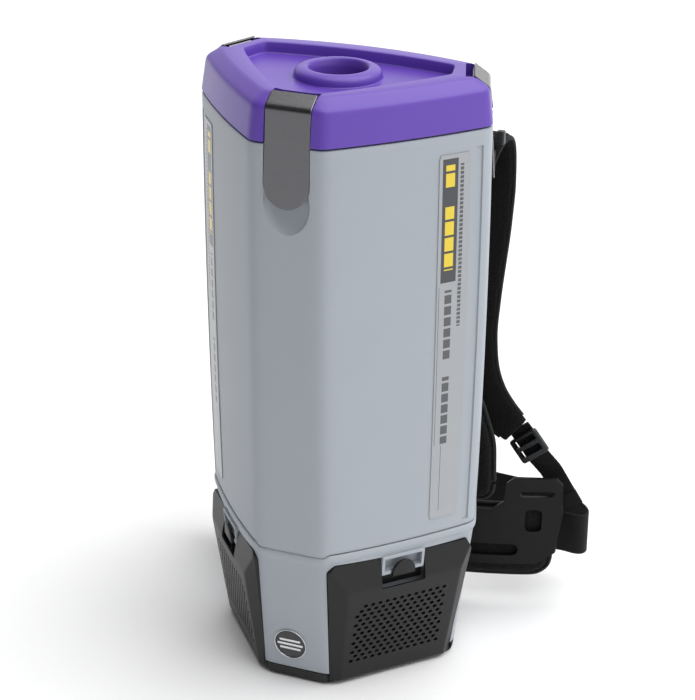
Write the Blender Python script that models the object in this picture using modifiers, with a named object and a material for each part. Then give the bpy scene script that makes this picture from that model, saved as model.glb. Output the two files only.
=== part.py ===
"""Commercial backpack vacuum cleaner: moulded base, tall canister body, latched lid, filters, motor and harness.

Metres, +Z up, origin on the floor under the hose port. -Y is the outward front of the canister and
+Y the wearer's side. Dimensions that drive the shape are the constants below; gaps tie the fits.
"""

import math

import bpy
import bmesh
import numpy as np
from mathutils import Matrix, Vector

# Overall form of the canister
PLAN_SCALE = 1.0
BASE_TOP = 0.1513
LID_SEAM = 0.5566
LID_BEND = LID_SEAM + 0.0334
LID_TOP = LID_SEAM + 0.0434
FRONT_BOTTOM, FRONT_BASE, FRONT_LID = 0.0839, 0.1035, 0.1188
CORNER_BOTTOM = (0.1113, 0.0575)
CORNER_BASE = (0.1298, 0.0581)
CORNER_LID = (0.1354, 0.0461)
FRONT_HALF = 0.035
CORNER_HALF = 0.034
CORNER_TURN = math.radians(18.9)
SIDE_BOW = 0.0044
BACK_BOW = 0.0163
CORNER_EASE = 0.0085
LID_BEND_INSET = 0.004
LID_TOP_INSET = 0.0174

# Clearances that tie neighbouring pieces together
GAP = 0.0004
RUNNING = 0.0010

# Walls
BUMPER_HEIGHT = 0.0125
BASE_WALL = 0.0125
BASE_FLOOR = 0.004
BODY_WALL = 0.0035
SKIRT_WALL = 0.0060
LIP_HEIGHT = 0.0090

# Lid recess and hose port
RECESS_DEPTH = 0.0105
PORT_BORE = 0.0257
PORT_RING = 0.0410
PORT_TUBE = 0.0290

# Latches
LATCH_HALF = 0.0219
LATCH_STEEL = 0.0016
LATCH_TIP_DROP = 0.0586
LATCH_PROUD = 0.0030
LATCH_SLOT_GAP = 0.0007
PIN_RADIUS = 0.0015
SCOOP_DEPTH = 0.0085

# Exhaust covers, in the plane of the base's side face (along, up) about its centre
COVER_EDGE = ((-0.0686, -0.0715), (-0.0798, 0.0570), (-0.0731, 0.0632), (0.0729, 0.0600), (0.0797, 0.0470), (0.0653, -0.0715))
COVER_RIM = 0.0025
COVER_PROUD = 0.0100
COVER_BACK = -0.0026
COVER_CREASE = 0.0335
COVER_AXLE_UP = -0.0685
NOTCH_HALF = 0.0240
NOTCH_FOOT = 0.0310
NOTCH_LEDGE = 0.0008
FRAME_FOOT = 0.0430
TAB_FOOT = 0.0405
TAB_RADIUS = 0.0125
BADGE_RADIUS = 0.0168
BADGE_OFF = -0.0050
WINDOW = (0.0520, -0.0515, 0.0215)

# Motor and filters
MOTOR_RADIUS = 0.050
MOTOR_WALL = 0.003
DECK_THICK = 0.005
CLOTH_INSET = 0.016
BAG_INSET = 0.031

# Harness
PLATE_FRONT = 0.1120
PLATE_THICK = 0.0060
PAD_THICK = 0.0150
HIP_PLATE_Y = 0.1215
HIP_PLATE_THICK = 0.0042
HIP_CURVE = 1.30
BELT_Z = 0.0725
STRAP_THICK = 0.0090
WEB_THICK = 0.0020


# ---------------------------------------------------------------- scene helpers

def clear_scene():
    for old in list(bpy.data.objects):
        bpy.data.objects.remove(old, do_unlink=True)


clear_scene()
PARTS = bpy.data.collections.new("backpack_vacuum")
TOOLS = bpy.data.collections.new("cutters")
bpy.context.scene.collection.children.link(PARTS)
bpy.context.scene.collection.children.link(TOOLS)
TOOLS.hide_render = True


def material(name, colour, roughness, metallic=0.0):
    made = bpy.data.materials.new(name)
    made.use_nodes = True
    shader = made.node_tree.nodes["Principled BSDF"]
    shader.inputs["Base Color"].default_value = (*colour, 1.0)
    shader.inputs["Roughness"].default_value = roughness
    shader.inputs["Metallic"].default_value = metallic
    return made


GREY = (0.47, 0.51, 0.56)
PURPLE = (0.12, 0.055, 0.43)
BLACK = (0.022, 0.022, 0.024)
STEEL = (0.42, 0.43, 0.45)
CLOTH = (0.60, 0.58, 0.52)


def put(mesh, name, colour=None, roughness=0.5, metallic=0.0):
    """A new object from a mesh; without a colour it is a cutter."""
    made = bpy.data.objects.new(name, mesh)
    if colour is None:
        TOOLS.objects.link(made)
        made.hide_render = True
        made.display_type = "WIRE"
    else:
        PARTS.objects.link(made)
        made.data.materials.append(material(name, colour, roughness, metallic))
    return made


def solid_from(name, points, faces):
    mesh = bpy.data.meshes.new(name)
    mesh.from_pydata([tuple(p) for p in points], [], faces)
    work = bmesh.new()
    work.from_mesh(mesh)
    bmesh.ops.remove_doubles(work, verts=work.verts, dist=1e-7)
    bmesh.ops.recalc_face_normals(work, faces=work.faces)
    if work.calc_volume(signed=True) < 0:
        bmesh.ops.reverse_faces(work, faces=work.faces)
    work.to_mesh(mesh)
    work.free()
    return mesh


def loft(name, rings, colour=None, roughness=0.5, metallic=0.0, closed=False):
    """Skin over rings with equal point counts; the ends are capped, or joined to each other when closed."""
    count = len(rings[0])
    points = [p for ring in rings for p in ring]
    faces = []
    last = len(rings) if closed else len(rings) - 1
    for i in range(last):
        a = i * count
        b = ((i + 1) % len(rings)) * count
        for j in range(count):
            k = (j + 1) % count
            faces.append((a + j, a + k, b + k, b + j))
    if not closed:
        faces.append(tuple(range(count))[::-1])
        faces.append(tuple(range(len(points) - count, len(points))))
    return put(solid_from(name, points, faces), name, colour, roughness, metallic)


def prism(name, outline, place, low, high, colour=None, roughness=0.5, metallic=0.0):
    """A flat outline given by (a, b) pairs, raised from low to high; place(a, b, h) gives the world point."""
    rings = [[place(a, b, h) for a, b in outline] for h in (low, high)]
    return loft(name, rings, colour, roughness, metallic)


def block(name, low, high, colour=None, roughness=0.5, metallic=0.0, place=None):
    """A box between two corners, in world axes or in those of place(a, b, h)."""
    spot = place or (lambda a, b, h: (a, b, h))
    outline = [(low[0], low[1]), (high[0], low[1]), (high[0], high[1]), (low[0], high[1])]
    return prism(name, outline, spot, low[2], high[2], colour, roughness, metallic)


def rod(name, start, end, radius, colour=None, roughness=0.5, metallic=0.0, sides=20, far=None):
    """A cylinder or cone between two points."""
    start, end = Vector(start), Vector(end)
    mesh = bpy.data.meshes.new(name)
    work = bmesh.new()
    bmesh.ops.create_cone(
        work, cap_ends=True, segments=sides, radius1=radius,
        radius2=radius if far is None else far, depth=(end - start).length,
    )
    turn = (end - start).to_track_quat("Z", "Y").to_matrix().to_4x4()
    bmesh.ops.transform(work, matrix=Matrix.Translation((start + end) / 2) @ turn, verts=work.verts)
    work.to_mesh(mesh)
    work.free()
    return put(mesh, name, colour, roughness, metallic)


def turned(name, profile, colour=None, roughness=0.5, metallic=0.0, steps=32, close=False):
    """A profile of (radius, height) pairs, outer side first from top to bottom, turned about Z."""
    mesh = bpy.data.meshes.new(name)
    edges = [(i, i + 1) for i in range(len(profile) - 1)]
    if close:
        edges.append((len(profile) - 1, 0))
    mesh.from_pydata([(r, 0.0, z) for r, z in profile], edges, [])
    made = put(mesh, name, colour, roughness, metallic)
    screw = made.modifiers.new("turn", "SCREW")
    screw.steps = steps
    screw.render_steps = steps
    screw.use_merge_vertices = True
    screw.merge_threshold = 0.00005
    screw.use_smooth_shade = False
    settle(made)
    return made


def settle(obj):
    """Bakes the modifiers into the mesh, facing out."""
    graph = bpy.context.evaluated_depsgraph_get()
    mesh = bpy.data.meshes.new_from_object(obj.evaluated_get(graph))
    mesh.transform(obj.matrix_world)
    work = bmesh.new()
    work.from_mesh(mesh)
    bmesh.ops.remove_doubles(work, verts=work.verts, dist=1e-6)
    bmesh.ops.recalc_face_normals(work, faces=work.faces)
    if work.calc_volume(signed=True) < 0:
        bmesh.ops.reverse_faces(work, faces=work.faces)
    work.to_mesh(mesh)
    work.free()
    obj.modifiers.clear()
    obj.data = mesh
    obj.matrix_world = Matrix.Identity(4)
    return obj


def combine(target, tool, operation):
    change = target.modifiers.new(operation.lower(), "BOOLEAN")
    change.operation = operation
    change.solver = "EXACT"
    change.object = tool
    settle(target)
    bpy.data.objects.remove(tool, do_unlink=True)
    return target


def cut(target, tool):
    return combine(target, tool, "DIFFERENCE")


def join(target, tool):
    return combine(target, tool, "UNION")


def cut_both(targets, make):
    for target in targets:
        cut(target, make())


def mirrored(source, name):
    """The left-hand copy of a right-hand piece."""
    made = bpy.data.objects.new(name, source.data.copy())
    PARTS.objects.link(made)
    made.data.materials.clear()
    kept = source.data.materials[0].copy()
    kept.name = name
    made.data.materials.append(kept)
    made.data.transform(Matrix.Translation(source.location))
    made.data.transform(Matrix.Scale(-1, 4, (1, 0, 0)))
    made.data.flip_normals()
    return made


def set_origin(obj, point):
    point = Vector(point)
    obj.data.transform(Matrix.Translation(-point))
    obj.location = point


def eased(obj, width, segments=2, angle=40):
    """Rounded edges."""
    soft = obj.modifiers.new("ease", "BEVEL")
    soft.width = width
    soft.segments = segments
    soft.limit_method = "ANGLE"
    soft.angle_limit = math.radians(angle)
    return settle(obj)


# ---------------------------------------------------------------- plan of the canister

def meet(p, d, q, e):
    """Where two lines cross."""
    cross = d[0] * e[1] - d[1] * e[0]
    t = ((q[0] - p[0]) * e[1] - (q[1] - p[1]) * e[0]) / cross
    return (p[0] + d[0] * t, p[1] + d[1] * t)


def corners(front, corner, inset, front_half=FRONT_HALF, corner_half=CORNER_HALF, turn=CORNER_TURN):
    """Sharp right-hand corners (front, near, far) of the plan after moving every side inwards."""
    along = (-math.sin(turn), math.cos(turn))
    a = (front_half, -front)
    b = (corner[0] - along[0] * corner_half, corner[1] - along[1] * corner_half)
    c = (corner[0] + along[0] * corner_half, corner[1] + along[1] * corner_half)
    side = (b[0] - a[0], b[1] - a[1])
    size = math.hypot(*side)
    out_side = (side[1] / size, -side[0] / size)
    out_corner = (math.cos(turn), math.sin(turn))
    side_at = (a[0] - out_side[0] * inset, a[1] - out_side[1] * inset)
    corner_at = (b[0] - out_corner[0] * inset, b[1] - out_corner[1] * inset)
    first = meet((0.0, -front + inset), (1.0, 0.0), side_at, side)
    second = meet(side_at, side, corner_at, along)
    third = meet(corner_at, along, (0.0, c[1] - inset), (1.0, 0.0))
    return first, second, third


def bowed(p, q, t, bow):
    """A point at t along p to q, pushed to the right of the way by a shallow bow."""
    d = (q[0] - p[0], q[1] - p[1])
    size = math.hypot(*d)
    push = bow * 4 * t * (1 - t)
    return (p[0] + d[0] * t + d[1] / size * push, p[1] + d[1] * t - d[0] / size * push)


def rounded(before, corner, after):
    """Three points round a corner."""
    middle = tuple(0.25 * before[i] + 0.5 * corner[i] + 0.25 * after[i] for i in (0, 1))
    return [before, middle, after]


def outline(front, corner, inset, ease=CORNER_EASE, side_bow=SIDE_BOW, back_bow=BACK_BOW, **more):
    """The closed plan: front facet, bowed sides, corner facets and bowed back, mirrored in X."""
    f, n, b = corners(front, corner, inset, **more)
    left_f = (-f[0], f[1])
    left_b = (-b[0], b[1])
    side = math.dist(f, n)
    back = 2 * b[0]
    s, c = ease / side, ease / back
    near_front = (f[0] - ease, f[1])
    near_facet = ((n[0] + (b[0] - n[0]) * ease / math.dist(n, b)), (n[1] + (b[1] - n[1]) * ease / math.dist(n, b)))
    far_facet = ((b[0] + (n[0] - b[0]) * ease / math.dist(n, b)), (b[1] + (n[1] - b[1]) * ease / math.dist(n, b)))
    half = rounded(near_front, f, bowed(f, n, s, side_bow))
    half += [bowed(f, n, s + (1 - 2 * s) * i / 4, side_bow) for i in range(1, 4)]
    half += rounded(bowed(f, n, 1 - s, side_bow), n, near_facet)
    half += rounded(far_facet, b, bowed(b, left_b, c, back_bow))
    half += [bowed(b, left_b, c + (1 - 2 * c) * i / 6, back_bow) for i in range(1, 3)]
    middle = bowed(b, left_b, 0.5, back_bow)
    return half + [middle] + [(-x, y) for x, y in reversed(half)]


def measures(z):
    """(front reach, corner point) at a height, before any inset."""
    rows = (
        (0.0, FRONT_BOTTOM, CORNER_BOTTOM),
        (BASE_TOP, FRONT_BASE, CORNER_BASE),
        (LID_SEAM, FRONT_LID, CORNER_LID),
    )
    z = min(max(z, 0.0), LID_SEAM)
    low, high = (rows[0], rows[1]) if z <= BASE_TOP else (rows[1], rows[2])
    t = (z - low[0]) / (high[0] - low[0])
    bulge = 0.0022 * 4 * t * (1 - t) if z > BASE_TOP else 0.0
    front = (low[1] + (high[1] - low[1]) * t) * PLAN_SCALE
    corner = [(low[2][i] + (high[2][i] - low[2][i]) * t) * PLAN_SCALE for i in (0, 1)]
    return front + bulge, (corner[0] + bulge, corner[1])


def ring(z, inset=0.0, at=None, **more):
    front, corner = measures(z if at is None else at)
    return [(x, y, z) for x, y in outline(front, corner, inset, **more)]


def side_point(z, part, out):
    """A point on the right-hand side face, part of the way from the front facet to the corner facet."""
    front, corner = measures(z)
    f, n, _ = corners(front, corner, -out)
    return (*bowed(f, n, part, SIDE_BOW), z)


def back_reach(x, z):
    """How far the back face reaches in +Y at this x and height."""
    front, corner = measures(z)
    b = corners(front, corner, 0.0)[2]
    t = 0.5 + x / (2 * b[0])
    return b[1] + BACK_BOW * 4 * t * (1 - t)


def facet(kind, z):
    """(middle, outward, along) of the front or right-hand corner facet at a height."""
    front, corner = measures(z)
    if kind == "front":
        return Vector((0, -front, z)), Vector((0, -1, 0)), Vector((1, 0, 0))
    turn = CORNER_TURN
    return (
        Vector((*corner, z)),
        Vector((math.cos(turn), math.sin(turn), 0)),
        Vector((-math.sin(turn), math.cos(turn), 0)),
    )


# ---------------------------------------------------------------- canister

def make_bumper():
    return loft(
        "base_bumper",
        [ring(0.0, 0.004, at=0.0), ring(0.0035, 0.0006, at=0.0), ring(BUMPER_HEIGHT, 0.0)],
        BLACK, 0.6,
    )


def make_base():
    foot = BUMPER_HEIGHT + GAP
    floor = foot + BASE_FLOOR
    ledge = BASE_TOP - 0.0236
    top = BASE_TOP - 0.0008
    flat = {"side_bow": 0.0, "back_bow": BACK_BOW}
    rings = [
        ring(foot, 0.0),
        ring(0.045, 0.0),
        ring(0.095, 0.0),
        ring(top - 0.0095, 0.0),
        ring(top - 0.0065, -0.0007),
        ring(top - 0.0010, -0.0007),
        ring(top, 0.0003),
        ring(top, 0.0065, **flat),
        ring(ledge, 0.0065, **flat),
        ring(ledge, BASE_WALL, **flat),
        ring(floor, BASE_WALL, **flat),
    ]
    return loft("base_housing", rings, GREY, 0.45)


def make_body():
    low = BASE_TOP - GAP / 2
    top = LID_SEAM - RUNNING
    tall = LID_SEAM - BASE_TOP
    heights = [low + tall * part for part in (0.15, 0.32, 0.50, 0.68, 0.85)]
    wall = [ring(z, 0.0) for z in heights]
    inside = [ring(z, BODY_WALL) for z in reversed(heights)]
    lip = SKIRT_WALL + RUNNING
    rings = [ring(low, 0.0010), ring(low + 0.0020, 0.0003)] + wall + [
        ring(top - 0.0012, 0.0),
        ring(top, 0.0008),
        ring(top, lip),
        ring(top + LIP_HEIGHT, lip, at=top),
        ring(top + LIP_HEIGHT, lip + 0.0025, at=top),
        ring(top - 0.0060, lip + 0.0025),
        ring(top - 0.0110, BODY_WALL),
    ] + inside + [ring(low, BODY_WALL)]
    return loft("body_shell", rings, GREY, 0.45, closed=True)


def recess_outline(inset, z):
    points = outline(
        0.0925 * PLAN_SCALE, (0.1003 * PLAN_SCALE, 0.0330 * PLAN_SCALE), inset, ease=0.006,
        side_bow=0.003, back_bow=0.010, front_half=0.0205, corner_half=0.0155, turn=math.radians(14),
    )
    return [(x, y, z) for x, y in points]


def make_lid():
    low = LID_SEAM + 0.0006
    floor = LID_TOP - RECESS_DEPTH
    shoulder = LID_SEAM + 0.0132
    rings = [
        recess_outline(0.0030, floor - 0.0030),
        ring(LID_TOP - 0.0190, 0.0400, at=LID_SEAM),
        ring(LID_TOP - 0.0190, 0.0160, at=LID_SEAM),
        ring(shoulder, 0.0140, at=LID_SEAM),
        ring(shoulder, SKIRT_WALL, at=LID_SEAM),
        ring(low, SKIRT_WALL, at=LID_SEAM),
        ring(low, 0.0006, at=LID_SEAM),
        ring(low + 0.0010, 0.0, at=LID_SEAM),
        ring(LID_BEND, LID_BEND_INSET, at=LID_SEAM),
        ring(LID_TOP - 0.0006, LID_TOP_INSET - 0.0012, at=LID_SEAM),
        ring(LID_TOP, LID_TOP_INSET + 0.0012, at=LID_SEAM),
        recess_outline(-0.0008, LID_TOP),
        recess_outline(0.0003, LID_TOP - 0.0008),
        recess_outline(0.0015, floor),
    ]
    lid = loft("lid", rings, PURPLE, 0.4)
    cut(lid, rod("port_hole", (0, 0, floor - 0.02), (0, 0, LID_TOP + 0.02), PORT_RING - 0.008, sides=32))
    top = LID_TOP - 0.0003
    profile = [
        (PORT_RING - 0.0090, top),
        (PORT_RING - 0.0050, top - 0.0012),
        (PORT_RING - 0.0015, top - 0.0050),
        (PORT_RING, top - 0.0092),
        (PORT_RING, floor - 0.0022),
        (PORT_TUBE, floor - 0.0022),
        (PORT_TUBE, LID_SEAM - 0.0006),
        (PORT_BORE, LID_SEAM - 0.0006),
        (PORT_BORE, top - 0.0100),
        (PORT_BORE + 0.0006, top - 0.0042),
        (PORT_BORE + 0.0028, top - 0.0010),
    ]
    join(lid, turned("port_ring", profile, close=True, steps=32))
    return lid


# ---------------------------------------------------------------- latches

class Latch:
    """Where one latch sits: outward and along directions, the bend, the tip and the hinge pin."""

    def __init__(self, kind):
        self.kind = kind
        seat, self.out, self.along = facet(kind, LID_SEAM)
        self.seat = seat
        tip_z = LID_SEAM - LATCH_TIP_DROP
        tip_reach = (facet(kind, tip_z)[0] - seat).dot(self.out) + LATCH_PROUD
        self.bend = self.at(-LID_BEND_INSET + 0.0006, LID_BEND)
        self.tip = self.at(tip_reach, tip_z)
        self.head = self.at(-LID_TOP_INSET, LID_TOP + 0.0002)
        slope = (self.bend - self.head).normalized()
        square = self.along.cross(slope)
        if square.dot(self.out) < 0:
            square = -square
        self.pin = self.head + slope * 0.0030 - square * 0.0046
        self.lay = (self.bend - self.tip).normalized()
        self.face = self.along.cross(self.lay)
        if self.face.dot(self.out) < 0:
            self.face = -self.face
        self.round = self.tip + self.lay * LATCH_HALF

    def at(self, out, z):
        point = self.seat + self.out * out
        point.z = z
        return point

    def on_plate(self, a, b, h):
        """a across the plate, b up it from the middle of its round end, h out of its face."""
        return self.round + self.along * a + self.lay * b + self.face * h

    def level(self, a, b, h):
        """a across, b outwards from the seam plane, h the height."""
        point = self.seat + self.along * a + self.out * b
        point.z = h
        return point


def make_latch(name, place):
    """Bent steel plate with a round lower end, and a knuckle round the hinge pin."""
    half, steel = LATCH_HALF, LATCH_STEEL
    rings = []
    reach = (place.bend - place.round).length
    for turn in (-86, -68, -50, -30, -12):
        angle = math.radians(turn)
        rings.append((half * math.cos(angle), half * math.sin(angle)))
    rings += [(half, 0.006), (half, reach * 0.5), (half, reach)]
    skin = []
    for wide, up in rings:
        front = [place.on_plate(-wide, up, 0), place.on_plate(wide, up, 0)]
        back = [place.on_plate(wide, up, -steel), place.on_plate(-wide, up, -steel)]
        skin.append(front + back)
    slope = (place.head - place.bend).normalized()
    square = place.along.cross(slope)
    if square.dot(place.out) < 0:
        square = -square
    inner = place.bend - (place.face + square) / (1 + place.face.dot(square)) * steel
    skin[-1] = [
        place.bend - place.along * half, place.bend + place.along * half,
        inner + place.along * half, inner - place.along * half,
    ]
    skin.append([
        place.head - place.along * half, place.head + place.along * half,
        place.head + place.along * half - square * steel, place.head - place.along * half - square * steel,
    ])
    plate = loft(name, skin, STEEL, 0.35, 0.9)
    across = place.along * 0.015
    join(plate, rod("knuckle", place.pin - across, place.pin + across, 0.0034, sides=16))
    across = place.along * 0.03
    cut(plate, rod("knuckle_bore", place.pin - across, place.pin + across, PIN_RADIUS + 0.00025, sides=16))
    set_origin(plate, place.pin)
    return plate


def make_pin(name, place):
    across = place.along * (LATCH_HALF + 0.0042)
    return rod(name, place.pin - across, place.pin + across, PIN_RADIUS, STEEL, 0.3, 1.0, sides=16)


def latch_slots(place, lid, body):
    """Notch in the lid for plate, knuckle and swing; channel and finger scoop in the body."""
    half = LATCH_HALF + LATCH_SLOT_GAP
    deep = -LATCH_STEEL - 0.0008
    cut(lid, block("slot", (-half, -0.002, deep), (half, 0.2, 0.03), place=place.on_plate))
    reach = (place.pin - place.seat).dot(place.out)
    cut(lid, block("well", (-half, reach - 0.0088, place.pin.z - 0.0068), (half, 0.02, LID_TOP + 0.02), place=place.level))
    across = place.along * (LATCH_HALF + 0.0046)
    cut(lid, rod("pin_seat", place.pin - across, place.pin + across, PIN_RADIUS + 0.0003, sides=16))
    top = LID_SEAM - RUNNING
    join(body, block("boss", (-0.0262, -0.0128, place.tip.z - 0.036), (0.0262, -0.0018, top - 0.0006), place=place.level))
    arc = [(half * math.cos(math.radians(t)), half * math.sin(math.radians(t))) for t in range(180, 361, 18)]
    cut(body, prism("channel", [(half, 0.2), (-half, 0.2)] + arc, place.on_plate, deep, 0.03))
    cut(body, scoop(place))


def scoop(place):
    """A spoon-shaped hollow under the latch's tip."""
    mesh = bpy.data.meshes.new("scoop")
    work = bmesh.new()
    bmesh.ops.create_uvsphere(work, u_segments=20, v_segments=10, radius=1.0)
    sizes = Matrix.Diagonal((LATCH_HALF + LATCH_SLOT_GAP, 0.0300, SCOOP_DEPTH, 1.0))
    axes = Matrix((place.along, place.lay, place.face)).transposed().to_4x4()
    middle = place.on_plate(0, -LATCH_HALF + 0.0040, -0.0026)
    bmesh.ops.transform(work, matrix=Matrix.Translation(middle) @ axes @ sizes, verts=work.verts)
    work.to_mesh(mesh)
    work.free()
    return put(mesh, "scoop")


# ---------------------------------------------------------------- exhaust side

class SideFace:
    """Plane of the base's right-hand side face: along, up and out about its centre."""

    def __init__(self):
        low = corners(*measures(0.0), 0.0)
        high = corners(*measures(BASE_TOP), 0.0)
        a, b = Vector((*high[0], BASE_TOP)), Vector((*high[1], BASE_TOP))
        c, d = Vector((*low[0], 0.0)), Vector((*low[1], 0.0))
        self.middle = (a + b + c + d) / 4
        self.out = (b - a).cross(a - c + b - d).normalized()
        if self.out.x < 0:
            self.out = -self.out
        run = b - a + d - c
        self.along = (run - self.out * run.dot(self.out)).normalized()
        self.up = self.out.cross(self.along)
        if self.up.z < 0:
            self.up = -self.up

    def at(self, a, b, h):
        return self.middle + self.along * a + self.up * b + self.out * h


FACE = SideFace()


def grown(points, by):
    """An outline moved outwards by the same amount on each side."""
    made = []
    count = len(points)
    middle = (sum(p[0] for p in points) / count, sum(p[1] for p in points) / count)
    for i, p in enumerate(points):
        before, after = points[i - 1], points[(i + 1) % count]
        lines = []
        for q, r in ((before, p), (p, after)):
            d = (r[0] - q[0], r[1] - q[1])
            size = math.hypot(*d)
            out = (d[1] / size, -d[0] / size)
            if (q[0] - middle[0]) * out[0] + (q[1] - middle[1]) * out[1] < 0:
                out = (-out[0], -out[1])
            lines.append(((q[0] + out[0] * by, q[1] + out[1] * by), d))
        made.append(meet(*lines[0], *lines[1]))
    return made


def make_cover():
    """Hipped cover: flush at its rim, proudest along a crease, with a notch for the release tab."""
    edge = list(COVER_EDGE)
    rim = [FACE.at(a, b, COVER_RIM) for a, b in edge]
    back = [FACE.at(a, b, COVER_BACK) for a, b in edge]
    crest = [
        FACE.at(-0.0590, -0.0690, COVER_RIM + 0.0006),
        FACE.at(-0.0615, COVER_CREASE, COVER_PROUD),
        FACE.at(0.0650, COVER_CREASE, COVER_PROUD),
        FACE.at(0.0575, -0.0690, COVER_RIM + 0.0006),
    ]
    points = back + rim + crest
    faces = [(0, 1, 2, 3, 4, 5)]
    faces += [(i, (i + 1) % 6, (i + 1) % 6 + 6, i + 6) for i in range(6)]
    faces += [
        (12, 13, 14, 15),
        (6, 7, 13, 12),
        (7, 8, 13),
        (8, 9, 14, 13),
        (9, 10, 14),
        (10, 11, 15, 14),
        (11, 6, 12, 15),
    ]
    cover = put(solid_from("exhaust_cover_right", points, faces), "exhaust_cover_right", BLACK, 0.5)
    cut(cover, block("notch", (-NOTCH_HALF, NOTCH_FOOT, NOTCH_LEDGE), (NOTCH_HALF, 0.09, 0.03), place=FACE.at))
    cut(cover, block("notch_back", (-NOTCH_HALF, FRAME_FOOT - 0.0008, -0.02), (NOTCH_HALF, 0.09, 0.03), place=FACE.at))
    cut(cover, block("tab_room", (-TAB_RADIUS - 0.0010, TAB_FOOT - 0.0008, -0.02), (TAB_RADIUS + 0.0010, 0.09, 0.03), place=FACE.at))
    cut(cover, block("hollow", (-0.0530, -0.0560, -0.02), (0.0530, 0.0230, 0.0004), place=FACE.at))
    for row in range(4):
        up = -0.040 + row * 0.0165
        for column in range(5):
            along = -0.0370 + column * 0.0180 + (0.004 if row % 2 else 0.0)
            start, end = FACE.at(along, up, -0.02), FACE.at(along, up, 0.03)
            cut(cover, rod("vent", start, end, 0.0042, sides=6))
    set_origin(cover, FACE.at(0.0, COVER_AXLE_UP, -0.0005))
    return cover


def make_tab():
    """Half-round release tab that swings a little into the pocket behind it."""
    arc = [(TAB_RADIUS * math.cos(math.radians(t)), TAB_FOOT + 0.0040 + TAB_RADIUS * math.sin(math.radians(t))) for t in range(0, 181, 18)]
    outline_points = arc + [(-TAB_RADIUS, TAB_FOOT), (TAB_RADIUS, TAB_FOOT)]
    tab = prism("cover_tab_right", outline_points, FACE.at, 0.0072, 0.0098, BLACK, 0.5)
    set_origin(tab, FACE.at(0.0, TAB_FOOT + 0.0014, 0.0085))
    return tab


def exhaust_openings(base, bumper):
    """Pocket, hinge groove, filter window and the light U frame round the tab, on the right side."""
    pocket = grown(list(COVER_EDGE), 0.0006)
    cut_both((base, bumper), lambda: prism("pocket", pocket, FACE.at, COVER_BACK - 0.0005, 0.04))
    groove = ((-0.0715, COVER_AXLE_UP - 0.0110, -0.0056), (0.0700, COVER_AXLE_UP + 0.0045, 0.02))
    cut_both((base, bumper), lambda: block("groove", *groove, place=FACE.at))
    half, low, high = WINDOW
    cut(base, block("window", (-half, low, -0.06), (half, high, 0.03), place=FACE.at))
    top = COVER_EDGE[2][1] + 0.0050
    side = NOTCH_HALF - 0.0006
    join(base, block("u_frame", (-side, FRAME_FOOT, -0.0060), (side, top, 0.0068), place=FACE.at))
    cut(base, block("u_pocket", (-side + 0.003, FRAME_FOOT + 0.0036, -0.0010), (side - 0.003, top - 0.0035, 0.03), place=FACE.at))
    cut(base, block("u_gate", (-TAB_RADIUS - 0.0007, FRAME_FOOT - 0.01, 0.0030), (TAB_RADIUS + 0.0007, FRAME_FOOT + 0.01, 0.03), place=FACE.at))


def make_exhaust_filter():
    """Pleated filter block behind the cover."""
    half, low, high = WINDOW
    half -= 0.0006
    pleats = 12
    front = []
    for i in range(pleats * 2 + 1):
        front.append((half - 2 * half * i / (pleats * 2), -0.0038 if i % 2 else -0.0080))
    outline_points = [(-half, -0.0122), (half, -0.0122)] + front
    return prism(
        "exhaust_filter_right", outline_points,
        lambda a, h, b: FACE.at(a, b, h), low + 0.0006, high - 0.0006, (0.75, 0.75, 0.72), 0.9,
    )


def side_grooves(body):
    """Long shallow channel beside each corner facet."""
    for side in (1, -1):
        rings = []
        for z in (BASE_TOP + 0.006, LID_SEAM - 0.016):
            a, b = side_point(z, 0.905, 0.0), side_point(z, 0.940, 0.0)
            a2, b2 = side_point(z, 0.905, 0.02), side_point(z, 0.940, 0.02)
            a3, b3 = side_point(z, 0.905, -0.0016), side_point(z, 0.940, -0.0016)
            del a, b
            rings.append([(side * p[0], p[1], p[2]) for p in (a3, b3, b2, a2)])
        cut(body, loft("groove", rings))


def make_label():
    """Thin printed plate on the right-hand side face."""
    rings = []
    parts = (0.667, 0.715, 0.763, 0.811, 0.860)
    for i in range(8):
        z = LID_SEAM - 0.0190 - (LID_SEAM - BASE_TOP - 0.0355) * i / 7
        outer = [side_point(z, part, 0.0009) for part in parts]
        inner = [side_point(z, part, 0.0004) for part in reversed(parts)]
        rings.append(outer + inner)
    return loft("side_label_right", rings, (0.62, 0.64, 0.66), 0.4)


def make_badge():
    middle, out, _ = facet("front", 0.0410)
    lean = Vector((0, FRONT_BASE - FRONT_BOTTOM, 0)) * (PLAN_SCALE / BASE_TOP)
    square = (Vector((0, -1, 0)) - Vector((0, 0, 1)) * lean.y).normalized()
    middle.x = BADGE_OFF
    return rod("badge", middle + square * GAP, middle + square * (GAP + 0.0014), BADGE_RADIUS, STEEL, 0.35, 0.6, sides=32)


# ---------------------------------------------------------------- inside

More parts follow.
